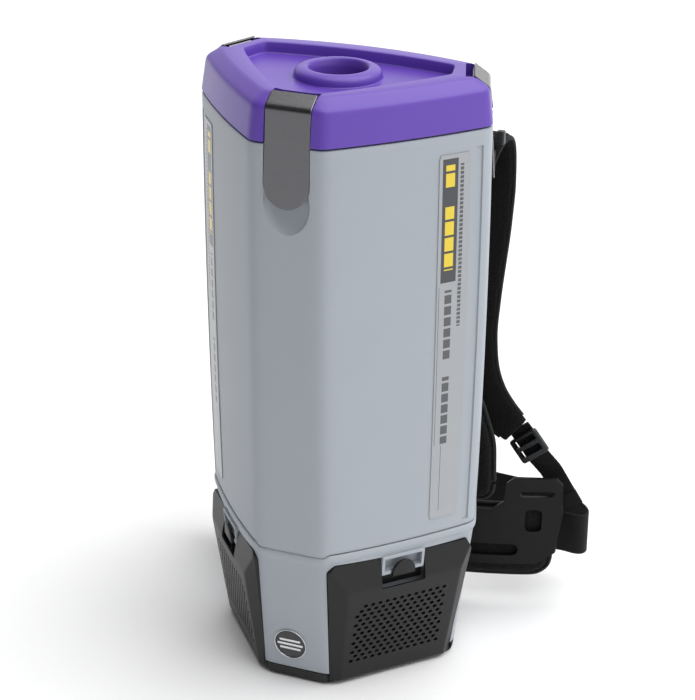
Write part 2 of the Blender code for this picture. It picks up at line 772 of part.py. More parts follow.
def make_motor():
    low = BUMPER_HEIGHT + GAP + BASE_FLOOR
    deck = BASE_TOP - 0.0236 + GAP
    r = MOTOR_RADIUS
    ring_profile = [(r - 0.004, low + 0.0055), (r - 0.004, low + GAP), (r - 0.018, low + GAP), (r - 0.018, low + 0.0055)]
    mount = turned("motor_mount", ring_profile, (0.03, 0.03, 0.03), 0.8, close=True)
    foot = low + 0.0055 + GAP
    head = deck - 0.0040
    case_profile = [
        (0.0, foot + MOTOR_WALL), (r - MOTOR_WALL - 0.001, foot + MOTOR_WALL), (r - MOTOR_WALL, foot + MOTOR_WALL + 0.002),
        (r - MOTOR_WALL, head), (r, head), (r, foot + 0.003), (r - 0.003, foot), (0.0, foot),
    ]
    case = turned("motor_case", case_profile, (0.35, 0.36, 0.37), 0.4, 0.6)
    ring_top = [(r, deck - GAP), (r, head + GAP), (r - 0.010, head + GAP), (r - 0.010, deck - GAP)]
    turned("motor_gasket", ring_top, (0.05, 0.05, 0.05), 0.8, close=True)
    fan = r - MOTOR_WALL - 0.004
    rotor_profile = [
        (0.0, head - 0.002), (0.004, head - 0.002), (0.004, head - 0.010), (fan, head - 0.010),
        (fan, head - 0.026), (0.028, head - 0.030), (0.028, foot + 0.014), (0.008, foot + 0.012),
        (0.004, foot + MOTOR_WALL + 0.001), (0.0, foot + MOTOR_WALL + 0.001),
    ]
    rotor = turned("motor_rotor", rotor_profile, (0.6, 0.45, 0.3), 0.35, 0.8)
    for i in range(6):
        angle = math.radians(60 * i)
        way = Vector((math.cos(angle), math.sin(angle), 0))
        side = Vector((-way.y, way.x, 0))
        middle = way * (fan - 0.006)

        def spot(a, b, h, way=way, side=side, middle=middle):
            point = middle + way * a + side * b
            return (point.x, point.y, h)

        cut(rotor, block("vane", (-0.010, -0.0035, head - 0.0225), (0.02, 0.0035, head - 0.0135), place=spot))
    set_origin(rotor, (0, 0, foot + MOTOR_WALL))
    return mount, case, rotor


def make_deck():
    low = BASE_TOP - 0.0236 + GAP
    flat = {"side_bow": 0.0, "back_bow": BACK_BOW}
    deck = loft(
        "motor_deck", [ring(low, 0.0073, **flat), ring(low + DECK_THICK, 0.0073, **flat)], (0.10, 0.10, 0.11), 0.5
    )
    cut(deck, rod("inlet", (0, 0, low - 0.01), (0, 0, low + 0.02), 0.030, sides=32))
    top = low + DECK_THICK + GAP
    dome = [
        (0.0, top + 0.030), (0.016, top + 0.0285), (0.030, top + 0.0235), (0.040, top + 0.0140),
        (0.044, top + 0.004), (0.044, top), (0.0, top),
    ]
    turned("inlet_filter", dome, (0.12, 0.12, 0.13), 0.95, steps=24)
    return deck


def make_cloth_filter():
    low, top = BASE_TOP + 0.020, LID_SEAM - 0.0046
    a = CLOTH_INSET
    rings = [
        ring(low, a + 0.016), ring(low + 0.008, a + 0.001), ring(low + 0.10, a), ring(top - 0.08, a), ring(top, a),
        ring(top, a + 0.0025), ring(top - 0.08, a + 0.0025), ring(low + 0.10, a + 0.0025), ring(low + 0.010, a + 0.0040), ring(low + 0.0025, a + 0.018),
    ]
    return loft("cloth_filter", rings, CLOTH, 0.95)


def round_like(points, radius, z):
    return [(radius * x / math.hypot(x, y), radius * y / math.hypot(x, y), z) for x, y, _ in points]


def make_bag():
    low, top = BASE_TOP + 0.062, LID_SEAM - 0.0085
    a = BAG_INSET
    base = ring(top, a)
    rings = [
        ring(low, a + 0.016), ring(low + 0.007, a + 0.001), ring(low + 0.12, a), ring(top - 0.014, a), ring(top - 0.001, a + 0.014),
        round_like(base, PORT_BORE + 0.0008, top), round_like(base, PORT_BORE + 0.0008, top - 0.0020),
        ring(top - 0.0030, a + 0.016), ring(top - 0.016, a + 0.0022), ring(low + 0.12, a + 0.0022), ring(low + 0.009, a + 0.0032), ring(low + 0.0024, a + 0.018),
    ]
    loft("filter_bag", rings, (0.62, 0.48, 0.33), 0.9)
    foot = top + GAP
    collar = block("bag_collar", (-0.050, -0.045, foot), (0.050, 0.045, LID_SEAM - 0.0006 - 0.0010), (0.55, 0.43, 0.30), 0.9)
    eased(collar, 0.0005, 1)
    return cut(collar, rod("collar_hole", (0, 0, foot - 0.01), (0, 0, foot + 0.03), PORT_BORE + 0.0008, sides=32))


def make_gasket():
    low = LID_SEAM - RUNNING + LIP_HEIGHT + GAP
    top = LID_SEAM + 0.0132 - GAP
    a = SKIRT_WALL + RUNNING
    rings = [
        ring(low, a, at=LID_SEAM), ring(top, a, at=LID_SEAM),
        ring(top, a + 0.0040, at=LID_SEAM), ring(low, a + 0.0040, at=LID_SEAM),
    ]
    return loft("lid_gasket", rings, (0.04, 0.04, 0.04), 0.8, closed=True)


# ---------------------------------------------------------------- harness

def in_xz(y_of):
    """Placing for outlines drawn in x and z, raised along y."""
    return lambda a, b, h: (a, y_of(a) + h, b)


def sliced(obj, places):
    """Extra edges at each x, so that a flat outline can follow a curve."""
    work = bmesh.new()
    work.from_mesh(obj.data)
    for x in places:
        everything = list(work.verts) + list(work.edges) + list(work.faces)
        bmesh.ops.bisect_plane(work, geom=everything, plane_co=(x, 0, 0), plane_no=(1, 0, 0), dist=1e-6)
    bmesh.ops.triangulate(work, faces=[f for f in work.faces if len(f.verts) > 4])
    work.to_mesh(obj.data)
    work.free()


def bend(obj, curve, flat=0.0):
    mesh = obj.data
    for vertex in mesh.vertices:
        x = abs(vertex.co.x)
        vertex.co.y += curve * max(0.0, x - flat) ** 2


def both_sides(half):
    return list(half) + [(-x, z) for x, z in reversed(half)]


def round_slot(low, high, radius):
    """Outline of a rounded rectangle in x and z."""
    points = []
    middles = ((high[0] - radius, high[1] - radius, 0), (low[0] + radius, high[1] - radius, 90), (low[0] + radius, low[1] + radius, 180), (high[0] - radius, low[1] + radius, 270))
    for x, z, start in middles:
        for t in (0, 45, 90):
            angle = math.radians(start + t)
            points.append((x + radius * math.cos(angle), z + radius * math.sin(angle)))
    return points


SCREWS = ((0.052, 0.180), (0.052, 0.440))


def make_backplate():
    half = [
        (0.050, 0.062), (0.062, 0.080), (0.062, 0.125), (0.072, 0.150), (0.072, 0.200), (0.058, 0.260),
        (0.058, 0.330), (0.072, 0.390), (0.100, 0.450), (0.116, 0.480), (0.116, 0.500), (0.108, 0.506), (0.055, 0.490),
    ]
    plate = prism("backplate", both_sides(half), lambda a, b, h: (a, h, b), PLATE_FRONT, PLATE_FRONT + PLATE_THICK, BLACK, 0.55)
    for low, high in (((-0.030, 0.215), (0.030, 0.290)), ((-0.030, 0.320), (0.030, 0.400))):
        cut(plate, prism("light", round_slot(low, high, 0.012), lambda a, b, h: (a, h, b), 0.05, 0.2))
    for side in (1, -1):
        for x, z in SCREWS:
            reach = back_reach(x, z) + 0.0016
            join(plate, rod("boss", (side * x, reach, z), (side * x, PLATE_FRONT + 0.002, z), 0.009, sides=16))
    for side in (1, -1):
        for x, z in SCREWS:
            cut(plate, rod("hole", (side * x, 0.05, z), (side * x, 0.2, z), 0.0025, sides=12))
    return plate


def make_screw(name, x, z):
    start = back_reach(abs(x), z) + 0.0022
    back = PLATE_FRONT + PLATE_THICK
    screw = rod(name, (x, back + GAP, z), (x, back + GAP + 0.0028, z), 0.0055, STEEL, 0.35, 0.9, sides=12)
    return join(screw, rod("shank", (x, start, z), (x, back + GAP + 0.001, z), 0.0021, sides=10))


def make_back_pad():
    front = PLATE_FRONT + PLATE_THICK + 0.0036
    half = [(0.118, 0.124), (0.126, 0.134), (0.124, 0.190), (0.108, 0.235), (0.068, 0.285), (0.058, 0.340), (0.058, 0.440), (0.048, 0.456)]
    pad = prism("back_pad", both_sides(half), lambda a, b, h: (a, h, b), front, front + PAD_THICK, (0.02, 0.02, 0.02), 0.95)
    return eased(pad, 0.0045, 2)


HIP_SLICES = [-0.17, -0.15, -0.13, -0.11, -0.09, -0.06, -0.03, 0.0, 0.03, 0.06, 0.09, 0.11, 0.13, 0.15, 0.17]


def make_hip_plate():
    half = [
        (0.165, 0.045), (0.183, 0.058), (0.188, 0.100), (0.187, 0.1360), (0.181, 0.1430), (0.141, 0.1440),
        (0.134, 0.1380), (0.132, 0.117), (0.120, 0.108),
    ]
    outline_points = both_sides(half)
    plate = prism("hip_plate", outline_points, lambda a, b, h: (a, h, b), HIP_PLATE_Y, HIP_PLATE_Y + HIP_PLATE_THICK, BLACK, 0.5)
    holes = (
        ((0.1475, 0.1225), (0.1805, 0.1285), 0.0025),
        ((0.1535, 0.0830), (0.1695, 0.1080), 0.0045),
        ((0.0950, 0.0550), (0.1480, 0.0680), 0.0060),
    )
    for side in (1, -1):
        for low, high, radius in holes:
            shape = [(side * x, z) for x, z in round_slot(low, high, radius)]
            cut(plate, prism("slot", shape, lambda a, b, h: (a, h, b), 0.05, 0.2))
    sliced(plate, HIP_SLICES)
    bend(plate, HIP_CURVE)
    for side in (1, -1):
        cut(plate, rod("bolt_hole", (side * 0.036, 0.05, 0.085), (side * 0.036, 0.2, 0.085), 0.0034, sides=12))
    return plate


def make_hip_bolt(name, x):
    back = HIP_PLATE_Y + HIP_PLATE_THICK + HIP_CURVE * x * x + 0.0012
    bolt = rod(name, (x, back, 0.085), (x, back + 0.0024, 0.085), 0.0065, STEEL, 0.35, 0.9, sides=12)
    return join(bolt, rod("shank", (x, PLATE_FRONT + PLATE_THICK + GAP, 0.085), (x, back + 0.001, 0.085), 0.0030, sides=10))


def make_hip_pad():
    half = [(0.165, 0.030), (0.176, 0.040), (0.178, 0.098), (0.168, 0.110)]
    pad = prism("hip_pad", both_sides(half), lambda a, b, h: (a, h, b), 0.0, 0.0125, (0.02, 0.02, 0.02), 0.95)
    sliced(pad, HIP_SLICES)
    bend(pad, HIP_CURVE)
    front = HIP_PLATE_Y + HIP_PLATE_THICK
    for vertex in pad.data.vertices:
        x = abs(vertex.co.x)
        vertex.co.y += front + 0.0006 + 0.0050 * max(0.0, 1 - (x / 0.085) ** 2)
    return pad


def ribbon(name, path, wide, thick, colour, roughness=0.9, across=None):
    """A strap along path; wide gives its half width at each point and across the direction of its width."""
    path = [Vector(p) for p in path]
    rings = []
    for i, p in enumerate(path):
        way = (path[min(i + 1, len(path) - 1)] - path[max(i - 1, 0)]).normalized()
        side = Vector(across[i]) if isinstance(across, list) else Vector(across or (1, 0, 0))
        side = (side - way * side.dot(way)).normalized()
        out = way.cross(side)
        w = wide[i] if isinstance(wide, (list, tuple)) else wide
        h = thick / 2
        rings.append([p + side * w + out * h, p + side * w - out * h, p - side * w - out * h, p - side * w + out * h])
    return loft(name, rings, colour, roughness)


STRAP_PATH = [
    (0.084, 0.1235, 0.470), (0.086, 0.1245, 0.492), (0.088, 0.131, 0.506), (0.089, 0.143, 0.5105), (0.090, 0.155, 0.503),
    (0.0895, 0.1615, 0.485), (0.0895, 0.1640, 0.450), (0.087, 0.1650, 0.400), (0.082, 0.1655, 0.345), (0.079, 0.1655, 0.295),
    (0.083, 0.1660, 0.252), (0.096, 0.1670, 0.222), (0.117, 0.1680, 0.2015), (0.1345, 0.1685, 0.1875),
]
STRAP_WIDE = [0.026, 0.030, 0.033, 0.034, 0.034, 0.034, 0.034, 0.033, 0.032, 0.031, 0.030, 0.027, 0.022, 0.019]


def strap_sides():
    """Width direction at each point of the shoulder strap: across the body, turning with the lower curve."""
    sides = []
    for i, p in enumerate(STRAP_PATH):
        if i < 9:
            sides.append((1, 0, 0))
            continue
        a, b = STRAP_PATH[max(i - 1, 0)], STRAP_PATH[min(i + 1, len(STRAP_PATH) - 1)]
        dx, dz = b[0] - a[0], b[2] - a[2]
        sides.append((-dz, 0, dx))
    return sides


def make_strap():
    return ribbon("shoulder_strap_right", STRAP_PATH, STRAP_WIDE, STRAP_THICK, (0.02, 0.02, 0.02), 0.95, strap_sides())


LOCK = Vector((0.1490, 0.1690, 0.1730))
LOCK_WAY = Vector((0.62, 0.0, -0.785)).normalized()


def lock_place(a, b, h):
    side = Vector((-LOCK_WAY.z, 0, LOCK_WAY.x))
    return LOCK + LOCK_WAY * a + side * b + Vector((0, h, 0))


def make_ladder_lock():
    """Buckle with two bars, tilted with the strap."""
    lock = block("ladder_lock_right", (-0.0140, -0.0165, -0.0030), (0.0140, 0.0165, 0.0030), BLACK, 0.35, place=lock_place)
    cut(lock, block("bar_a", (-0.0105, -0.0130, -0.02), (-0.0035, 0.0130, 0.02), place=lock_place))
    cut(lock, block("bar_b", (0.0010, -0.0130, -0.02), (0.0085, 0.0130, 0.02), place=lock_place))
    return eased(lock, 0.0009, 1, 50)


def make_lower_web():
    start = LOCK + LOCK_WAY * 0.0165 + Vector((0, 0.004, 0))
    path = [start, start + LOCK_WAY * 0.018 + Vector((0, 0.006, 0)), Vector((0.1930, 0.1835, 0.1080))]
    side = (-LOCK_WAY.z, 0, LOCK_WAY.x)
    return ribbon("lower_webbing_right", path, 0.0125, WEB_THICK, (0.02, 0.02, 0.02), 0.85, side)


BELT_PATH = [
    (0.160, 0.1830), (0.176, 0.1905), (0.190, 0.1895), (0.200, 0.1865), (0.2075, 0.1900), (0.2085, 0.2000), (0.201, 0.2130),
    (0.181, 0.2300), (0.150, 0.2430), (0.115, 0.2500), (0.075, 0.2530),
]
WAIST_SOCKET = 0.032
WAIST_PLUG = 0.0176


def make_belt(name, side, end):
    """Waist belt from behind the hip plate round to the buckle, lying as a loop."""
    path = [(side * x, y, BELT_Z) for x, y in BELT_PATH] + [(side * (end + GAP), 0.2540, BELT_Z)]
    return ribbon(name, path, 0.0225, WEB_THICK, (0.02, 0.02, 0.02), 0.85, (0, 0, 1))


def buckle(prefix, middle, size, colour=BLACK):
    """Side-release buckle: a hollow socket on the left and a plug with a tongue on the right."""
    w, t, h = size
    x0, y0, z0 = middle
    at = lambda a, b, c: (x0 + a, y0 + b, z0 + c)
    socket = block(prefix + "_socket", at(-w, -t, -h), at(0, t, h), colour, 0.35)
    eased(socket, min(t * 0.45, 0.0012), 1)
    cut(socket, block("mouth", at(-w * 0.72, -t * 0.55, -h * 0.78), at(0.01, t * 0.55, h * 0.78)))
    plug = block(prefix + "_plug", at(0.0004, -t, -h), at(w * 0.55, t, h), colour, 0.35)
    eased(plug, min(t * 0.45, 0.0012), 1)
    join(plug, block("tongue", at(-w * 0.62, -t * 0.35, -h * 0.62), at(0.003, t * 0.35, h * 0.62)))
    return socket, plug


def make_sternum():
    y = 0.1735
    z = 0.405
    buckle("sternum", (0.0, y, z), (0.017, 0.0042, 0.010))
    path = [(0.0110, y, z), (0.040, y, z), (0.066, y - 0.0002, z)]
    ribbon("sternum_webbing_right", path, 0.0095, 0.0016, (0.02, 0.02, 0.02), 0.85, (0, 0, 1))
    left = [(-0.0190, y, z), (-0.040, y, z), (-0.066, y - 0.0002, z)]
    ribbon("sternum_webbing_left", left, 0.0095, 0.0016, (0.02, 0.02, 0.02), 0.85, (0, 0, 1))


def make_grab_loop():
    path = [(-0.034, 0.1225, 0.470), (-0.034, 0.1227, 0.500), (-0.030, 0.1230, 0.522), (-0.018, 0.1235, 0.536), (0.0, 0.1237, 0.540), (0.018, 0.1235, 0.536), (0.030, 0.1230, 0.522), (0.034, 0.1227, 0.500), (0.034, 0.1225, 0.470)]
    return ribbon("grab_loop", path, 0.0028, 0.008, (0.02, 0.02, 0.02), 0.85, [(1, 0, 0)] * 2 + [(1, 0, 0.5), (0.5, 0, 1), (0, 0, 1), (-0.5, 0, 1), (-1, 0, 0.5), (-1, 0, 0), (-1, 0, 0)])


def make_keeper():
    """Small webbing keeper at the outer top corner of the backplate."""
    keeper = block("strap_keeper_right", (0.1165, 0.1150, 0.5068), (0.1245, 0.1225, 0.5205), BLACK, 0.4)
    return eased(keeper, 0.0018, 2)


SWITCH_X = 0.163


def switch_place(a, b, h):
    """Axes of the switch on the left end of the hip plate: along it, up, and out of its front."""
    slope = 2 * HIP_CURVE * SWITCH_X
    run = Vector((-1, slope, 0)).normalized()
    out = Vector((-slope, -1, 0)).normalized()
    foot = Vector((-SWITCH_X, HIP_PLATE_Y + HIP_CURVE * SWITCH_X ** 2, 0.095))
    return foot + run * a + Vector((0, 0, b)) + out * h


def make_switch():
    box = block("switch_box", (-0.0135, -0.0250, 0.0010), (0.0135, 0.0250, 0.0190), BLACK, 0.45, place=switch_place)
    eased(box, 0.0025, 2)
    cut(box, block("rocker_well", (-0.0085, -0.0130, 0.0070), (0.0085, 0.0130, 0.04), place=switch_place))
    rocker = block("rocker_switch", (-0.0080, -0.0122, 0.0125), (0.0080, 0.0122, 0.0205), (0.25, 0.02, 0.02), 0.35, place=switch_place)
    cut(rocker, rod("dish", switch_place(-0.02, 0, 0.0295), switch_place(0.02, 0, 0.0295), 0.0105, sides=24))
    set_origin(rocker, switch_place(0, 0, 0.0125))
    return box


def make_gland():
    x, z = -0.058, 0.040
    start = back_reach(x + 0.0105, z + 0.0105) + 0.0006
    gland = rod("power_gland", (x, start, z), (x, start + 0.003, z), 0.0105, BLACK, 0.6, sides=16)
    join(gland, rod("sleeve", (x, start + 0.002, z), (x, start + 0.019, z), 0.0078, sides=16, far=0.0052))
    return cut(gland, rod("cord_bore", (x, start + 0.006, z), (x, start + 0.04, z), 0.0036, sides=12))


# ---------------------------------------------------------------- assembly

def build():
    bumper = make_bumper()
    base = make_base()
    body = make_body()
    lid = make_lid()
    exhaust_openings(base, bumper)
    for piece in (base, bumper):
        flip(piece)
    exhaust_openings(base, bumper)
    for piece in (base, bumper):
        flip(piece)
    for kind in ("front", "right"):
        place = Latch(kind)
        latch_slots(place, lid, body)
        make_latch("latch_" + kind, place)
        make_pin("latch_pin_" + kind, place)
    for piece in (lid, body):
        flip(piece)
    latch_slots(Latch("right"), lid, body)
    for piece in (lid, body):
        flip(piece)
    side_grooves(body)
    pair("latch_right", "latch_left")
    pair("latch_pin_right", "latch_pin_left")
    make_gasket()
    make_badge()
    make_motor()
    make_deck()
    make_cloth_filter()
    make_bag()
    for make, name in (
        (make_cover, "exhaust_cover"), (make_tab, "cover_tab"), (make_exhaust_filter, "exhaust_filter"),
        (make_label, "side_label"), (make_strap, "shoulder_strap"), (make_ladder_lock, "ladder_lock"),
        (make_lower_web, "lower_webbing"), (make_keeper, "strap_keeper"),
    ):
        make()
        pair(name + "_right", name + "_left")
    make_backplate()
    for i, (x, z) in enumerate(SCREWS):
        make_screw(f"plate_screw_{'lower' if i == 0 else 'upper'}_right", x, z)
        make_screw(f"plate_screw_{'lower' if i == 0 else 'upper'}_left", -x, z)
    make_back_pad()
    make_hip_plate()
    make_hip_bolt("hip_bolt_right", 0.036)
    make_hip_bolt("hip_bolt_left", -0.036)
    make_hip_pad()
    make_belt("belt_webbing_right", 1, WAIST_PLUG)
    make_belt("belt_webbing_left", -1, WAIST_SOCKET)
    buckle("waist", (0.0, 0.2540, BELT_Z), (WAIST_SOCKET, 0.0065, 0.024))
    make_sternum()
    make_grab_loop()
    make_switch()
    make_gland()


def flip(obj):
    """Mirrors a piece in X in place, so that the same cutters serve both sides."""
    obj.data.transform(Matrix.Scale(-1, 4, (1, 0, 0)))
    obj.data.flip_normals()


def pair(right, left):
    source = bpy.data.objects[right]
    origin = source.location.copy()
    made = mirrored(source, left)
    set_origin(made, (-origin.x, origin.y, origin.z))
    return made


build()
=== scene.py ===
"""Backpack vacuum cleaner: its looks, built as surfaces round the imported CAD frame.

Metres, +Z up, -Y the outward front facet, +Y the wearer's side. Every new piece is worked out with numpy as a
function of two parameters on a grid, in place, and rides on a body of the frame.
"""

import math

import bmesh
import bpy
import numpy as np
from mathutils import Matrix, Vector


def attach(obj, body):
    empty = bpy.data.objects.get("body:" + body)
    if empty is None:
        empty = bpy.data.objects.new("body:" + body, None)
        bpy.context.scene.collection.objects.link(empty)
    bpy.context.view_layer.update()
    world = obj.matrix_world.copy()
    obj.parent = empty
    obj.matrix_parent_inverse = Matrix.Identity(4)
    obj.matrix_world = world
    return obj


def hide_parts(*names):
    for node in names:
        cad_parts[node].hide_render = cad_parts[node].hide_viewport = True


bl_info = {
    "name": "Backpack Vacuum",
    "version": (1, 0, 0),
    "blender": (4, 5, 0),
    "location": "View3D > Sidebar > Vacuum",
    "description": "Builds the looks of a backpack vacuum cleaner round its CAD frame",
    "category": "Object",
}

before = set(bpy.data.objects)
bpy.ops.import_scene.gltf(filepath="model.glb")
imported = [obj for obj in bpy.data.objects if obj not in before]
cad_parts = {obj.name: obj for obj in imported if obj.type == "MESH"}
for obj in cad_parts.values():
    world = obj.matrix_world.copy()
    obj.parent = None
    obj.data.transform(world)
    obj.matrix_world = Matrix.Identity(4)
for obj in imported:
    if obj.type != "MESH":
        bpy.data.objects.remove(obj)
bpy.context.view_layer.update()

# Plan of the canister at three heights: height, front reach, corner facet's middle
LEVELS = np.array([[0.0, 0.0839, 0.1113, 0.0575], [0.1513, 0.1035, 0.1298, 0.0581], [0.5566, 0.1188, 0.1354, 0.0461]])
BASE_TOP, LID_SEAM, LID_BEND, LID_TOP = 0.1513, 0.5566, 0.5900, 0.6000
FOOT = 0.0125
BULGE = 0.0022
TURN = math.radians(18.9)
FRONT_HALF, CORNER_HALF = 0.035, 0.034
SIDE_BOW, BACK_BOW = 0.0044, 0.0163
LATCH_HALF, LATCH_STEEL = 0.0219, 0.0016
RECESS = 0.0105
SAMPLES = 1200
MERGE = 2e-6
FIT = 0.0007  # room round a latch plate in its channel
DIP = 0.0034  # how far the body's seam dips under the front facet
LID_EASE = 0.0046
STUFF_FRAMES = 20


# ---------------------------------------------------------------- shader maths

class Value:
    """A number on a socket; Python maths on it adds Math nodes."""

    def __init__(self, graph, socket):
        self.graph, self.socket = graph, socket

    def fn(self, operation, *others, **settings):
        return self.graph.node("Math", {"operation": operation, **settings}, dict(enumerate((self, *others))))

    def _swap(self, operation, other):
        return self.graph.node("Math", {"operation": operation}, {0: other, 1: self})

    def __add__(self, other):
        return self.fn("ADD", other)

    def __sub__(self, other):
        return self.fn("SUBTRACT", other)

    def __mul__(self, other):
        return self.fn("MULTIPLY", other)

    def __truediv__(self, other):
        return self.fn("DIVIDE", other)

    def __rsub__(self, other):
        return self._swap("SUBTRACT", other)

    def __rtruediv__(self, other):
        return self._swap("DIVIDE", other)

    def __pow__(self, other):
        return self.fn("POWER", other)

    def __gt__(self, other):
        return self.fn("GREATER_THAN", other)

    def __lt__(self, other):
        return self.fn("LESS_THAN", other)

    __radd__, __rmul__ = __add__, __mul__

    def clip(self):
        return self.fn("ADD", 0.0, use_clamp=True)

    def inside(self, low, high, soft):
        """1 between low and high, falling to 0 over the width soft outside them."""
        return ((self - (low - soft)) / soft).clip() * (((high + soft) - self) / soft).clip()


class Graph:
    """One material and the nodes wired into its shader."""

    def __init__(self, name, **constants):
        self.material = bpy.data.materials.new(name)
        self.material.use_nodes = True
        self.tree = self.material.node_tree
        self.shader = self.tree.nodes["Principled BSDF"]
        for key, value in constants.items():
            self.shader.inputs[key.replace("_", " ").title().replace("Ior", "IOR")].default_value = value

    def node(self, kind, settings=None, sockets=None, out=0):
        """Adds a node: its settings first, then the values or links of its sockets; gives its output as a Value."""
        made = self.tree.nodes.new("ShaderNode" + kind)
        for key, value in (settings or {}).items():
            if key == "stops":
                ramp = made.color_ramp
                while len(ramp.elements) < len(value):
                    ramp.elements.new(0.5)
                for stop, (at, colour) in zip(ramp.elements, value):
                    stop.position, stop.color = at, colour
            else:
                setattr(made, key, value)
        for key, value in (sockets or {}).items():
            self.link(value, made.inputs[key])
        return Value(self, made.outputs[out])

    def link(self, value, socket):
        if isinstance(value, Value):
            self.tree.links.new(value.socket, socket)
        else:
            socket.default_value = value

    def place(self, scale=(1, 1, 1), turn=(0, 0, 0), move=(0, 0, 0)):
        """Object coordinates, scaled and turned."""
        seat = self.node("TexCoord", out=3)
        return self.node("Mapping", {}, {0: seat, 1: move, 2: turn, 3: scale})

    def across(self):
        """The piece's own (u, v), in metres along the surface."""
        flat = self.node("UVMap", {"uv_map": "skin"})
        parts = self.tree.nodes.new("ShaderNodeSeparateXYZ")
        self.tree.links.new(flat.socket, parts.inputs[0])
        return Value(self, parts.outputs[0]), Value(self, parts.outputs[1])

    def noise(self, size, detail=3.0, rough=0.5, at=None):
        """Noise with features of about this size in metres, from 0 to 1."""
        at = at or self.place()
        return self.node("TexNoise", {}, {"Vector": at, "Scale": 1 / size, "Detail": detail, "Roughness": rough})

    def mix(self, share, a, b):
        """Colour a where share is 0 and b where it is 1."""
        return self.node("Mix", {"data_type": "RGBA"}, {0: share, 6: a, 7: b}, out=2)

    def bump(self, height, depth, under=None):
        """A normal from a height of 0 to 1 that stands for depth metres."""
        sockets = {"Strength": 1.0, "Distance": depth, "Height": height}
        if under is not None:
            sockets["Normal"] = under
        return self.node("Bump", {}, sockets)

    def finish(self, **links):
        for key, value in links.items():
            self.link(value, self.shader.inputs[key.replace("_", " ").title()])
        return self.material


def rgb(colour, by=1.0):
    return (*(c * by for c in tuple(colour)[:3]), 1.0)


def moulded(name, colour, roughness, grain=0.00035, depth=0.000012, coat=0.0, wear=0.05, shine=0.5):
    """Moulded plastic: fine spark-eroded grain, faint cloudy tone and slightly uneven gloss."""
    graph = Graph(name, roughness=roughness, coat_weight=coat, coat_roughness=0.3, specular_ior_level=shine)
    cloud = graph.noise(0.06, 4.0, 0.55)
    fine = graph.noise(grain, 2.0, 0.6)
    scuff = graph.noise(0.012, 6.0, 0.7, graph.place((1, 1, 0.25)))
    base = graph.mix(cloud, rgb(colour, 0.97), rgb(colour, 1.03))
    base = graph.mix(((scuff - 0.62) * 4).clip() * wear, base, rgb([c * 0.6 + 0.25 for c in tuple(colour)[:3]]))
    gloss = roughness + (cloud - 0.5) * 0.05 + (fine - 0.5) * 0.06
    return graph.finish(base_color=base, roughness=gloss, normal=graph.bump(fine, depth))


def steel(name, colour, roughness, turn=(0, 0, 0), stretch=(1, 1, 60)):
    """Brushed metal: long fine scratches laid one way."""
    graph = Graph(name, metallic=1.0)
    lay = graph.place(stretch, turn)
    fine, broad = graph.noise(0.012, 4.0, 0.7, lay), graph.noise(0.05, 2.0, 0.5, lay)
    tone = graph.mix(fine * 0.6 + broad * 0.4, rgb(colour, 0.80), rgb(colour, 1.2))
    return graph.finish(base_color=tone, roughness=roughness + (fine - 0.5) * 0.16, normal=graph.bump(fine, 0.000006))


def webbing(name, colour, pitch=0.0021):
    """Woven nylon tape: rows of slanted yarn over and under, in the piece's own (u, v); its colour is painted darker in
    the weave's hollows as shade and lighter on the raised yarn.
    """
    graph = Graph(name, roughness=0.70, sheen_weight=0.04, sheen_roughness=0.4, specular_ior_level=0.2)
    u, v = graph.across()
    yarn = (u * (math.pi / pitch * 1.6)).fn("SINE").fn("ABSOLUTE")
    rows = (
        (v + (u * (math.pi / pitch * 1.6)).fn("SINE") * pitch * 0.18) * (math.pi / pitch)
    ).fn("SINE").fn("ABSOLUTE")
    height = yarn * 0.55 + rows * 0.45
    fuzz = graph.noise(0.0009, 2.0, 0.6)
    # Painted shade and highlight: the colour falls to a third in the weave's low parts and rises on the raised yarn,
    # following the bump's height
    base = graph.mix((height * 0.8 + fuzz * 0.3).clip(), rgb(colour, 0.35), rgb(colour, 1.5))
    return graph.finish(base_color=base, normal=graph.bump(height + fuzz * 0.25, 0.00045))


def air_mesh(name, colour, pitch=0.0032):
    """Spacer mesh fabric: a knitted net of small round eyes, their insides painted dark as shade in the holes."""
    graph = Graph(name, roughness=0.80, sheen_weight=0.04, sheen_roughness=0.5, specular_ior_level=0.15)
    eyes = graph.node(
        "TexVoronoi", {"feature": "F1"}, {"Vector": graph.place(), "Scale": 1 / pitch, "Randomness": 0.35}
    )
    net = (eyes * (1.7)).clip()
    fuzz = graph.noise(0.0007, 3.0, 0.6)
    worn = graph.noise(0.05, 4.0, 0.6)
    # Painted shade: the colour drops to a third inside each eye, where the bump is lowest, and is lighter on the net
    base = graph.mix((net * 0.85 + (fuzz - 0.5) * 0.3).clip(), rgb(colour, 0.35), rgb(colour, 1.5))
    base = graph.mix(worn * 0.25, base, rgb(colour, 0.7))
    return graph.finish(base_color=base, normal=graph.bump(net + fuzz * 0.3, 0.0005))


def plain_cloth(name, colour, pitch=0.0012, depth=0.0002, roughness=0.9):
    """Tight plain cloth, paper or felt: crossed fine threads with a soft nap."""
    graph = Graph(name, roughness=roughness, sheen_weight=0.04, sheen_roughness=0.5, specular_ior_level=0.25)
    lay = graph.place()
    threads = graph.noise(pitch, 2.0, 0.5, graph.place((3, 3, 0.4))) * 0.5 + graph.noise(
        pitch, 2.0, 0.5, graph.place((0.4, 0.4, 3))
    ) * 0.5
    tone = graph.noise(0.03, 4.0, 0.6, lay)
    base = graph.mix((threads * 0.7 + tone * 0.3).clip(), rgb(colour, 0.72), rgb(colour, 1.15))
    return graph.finish(base_color=base, normal=graph.bump(threads, depth))


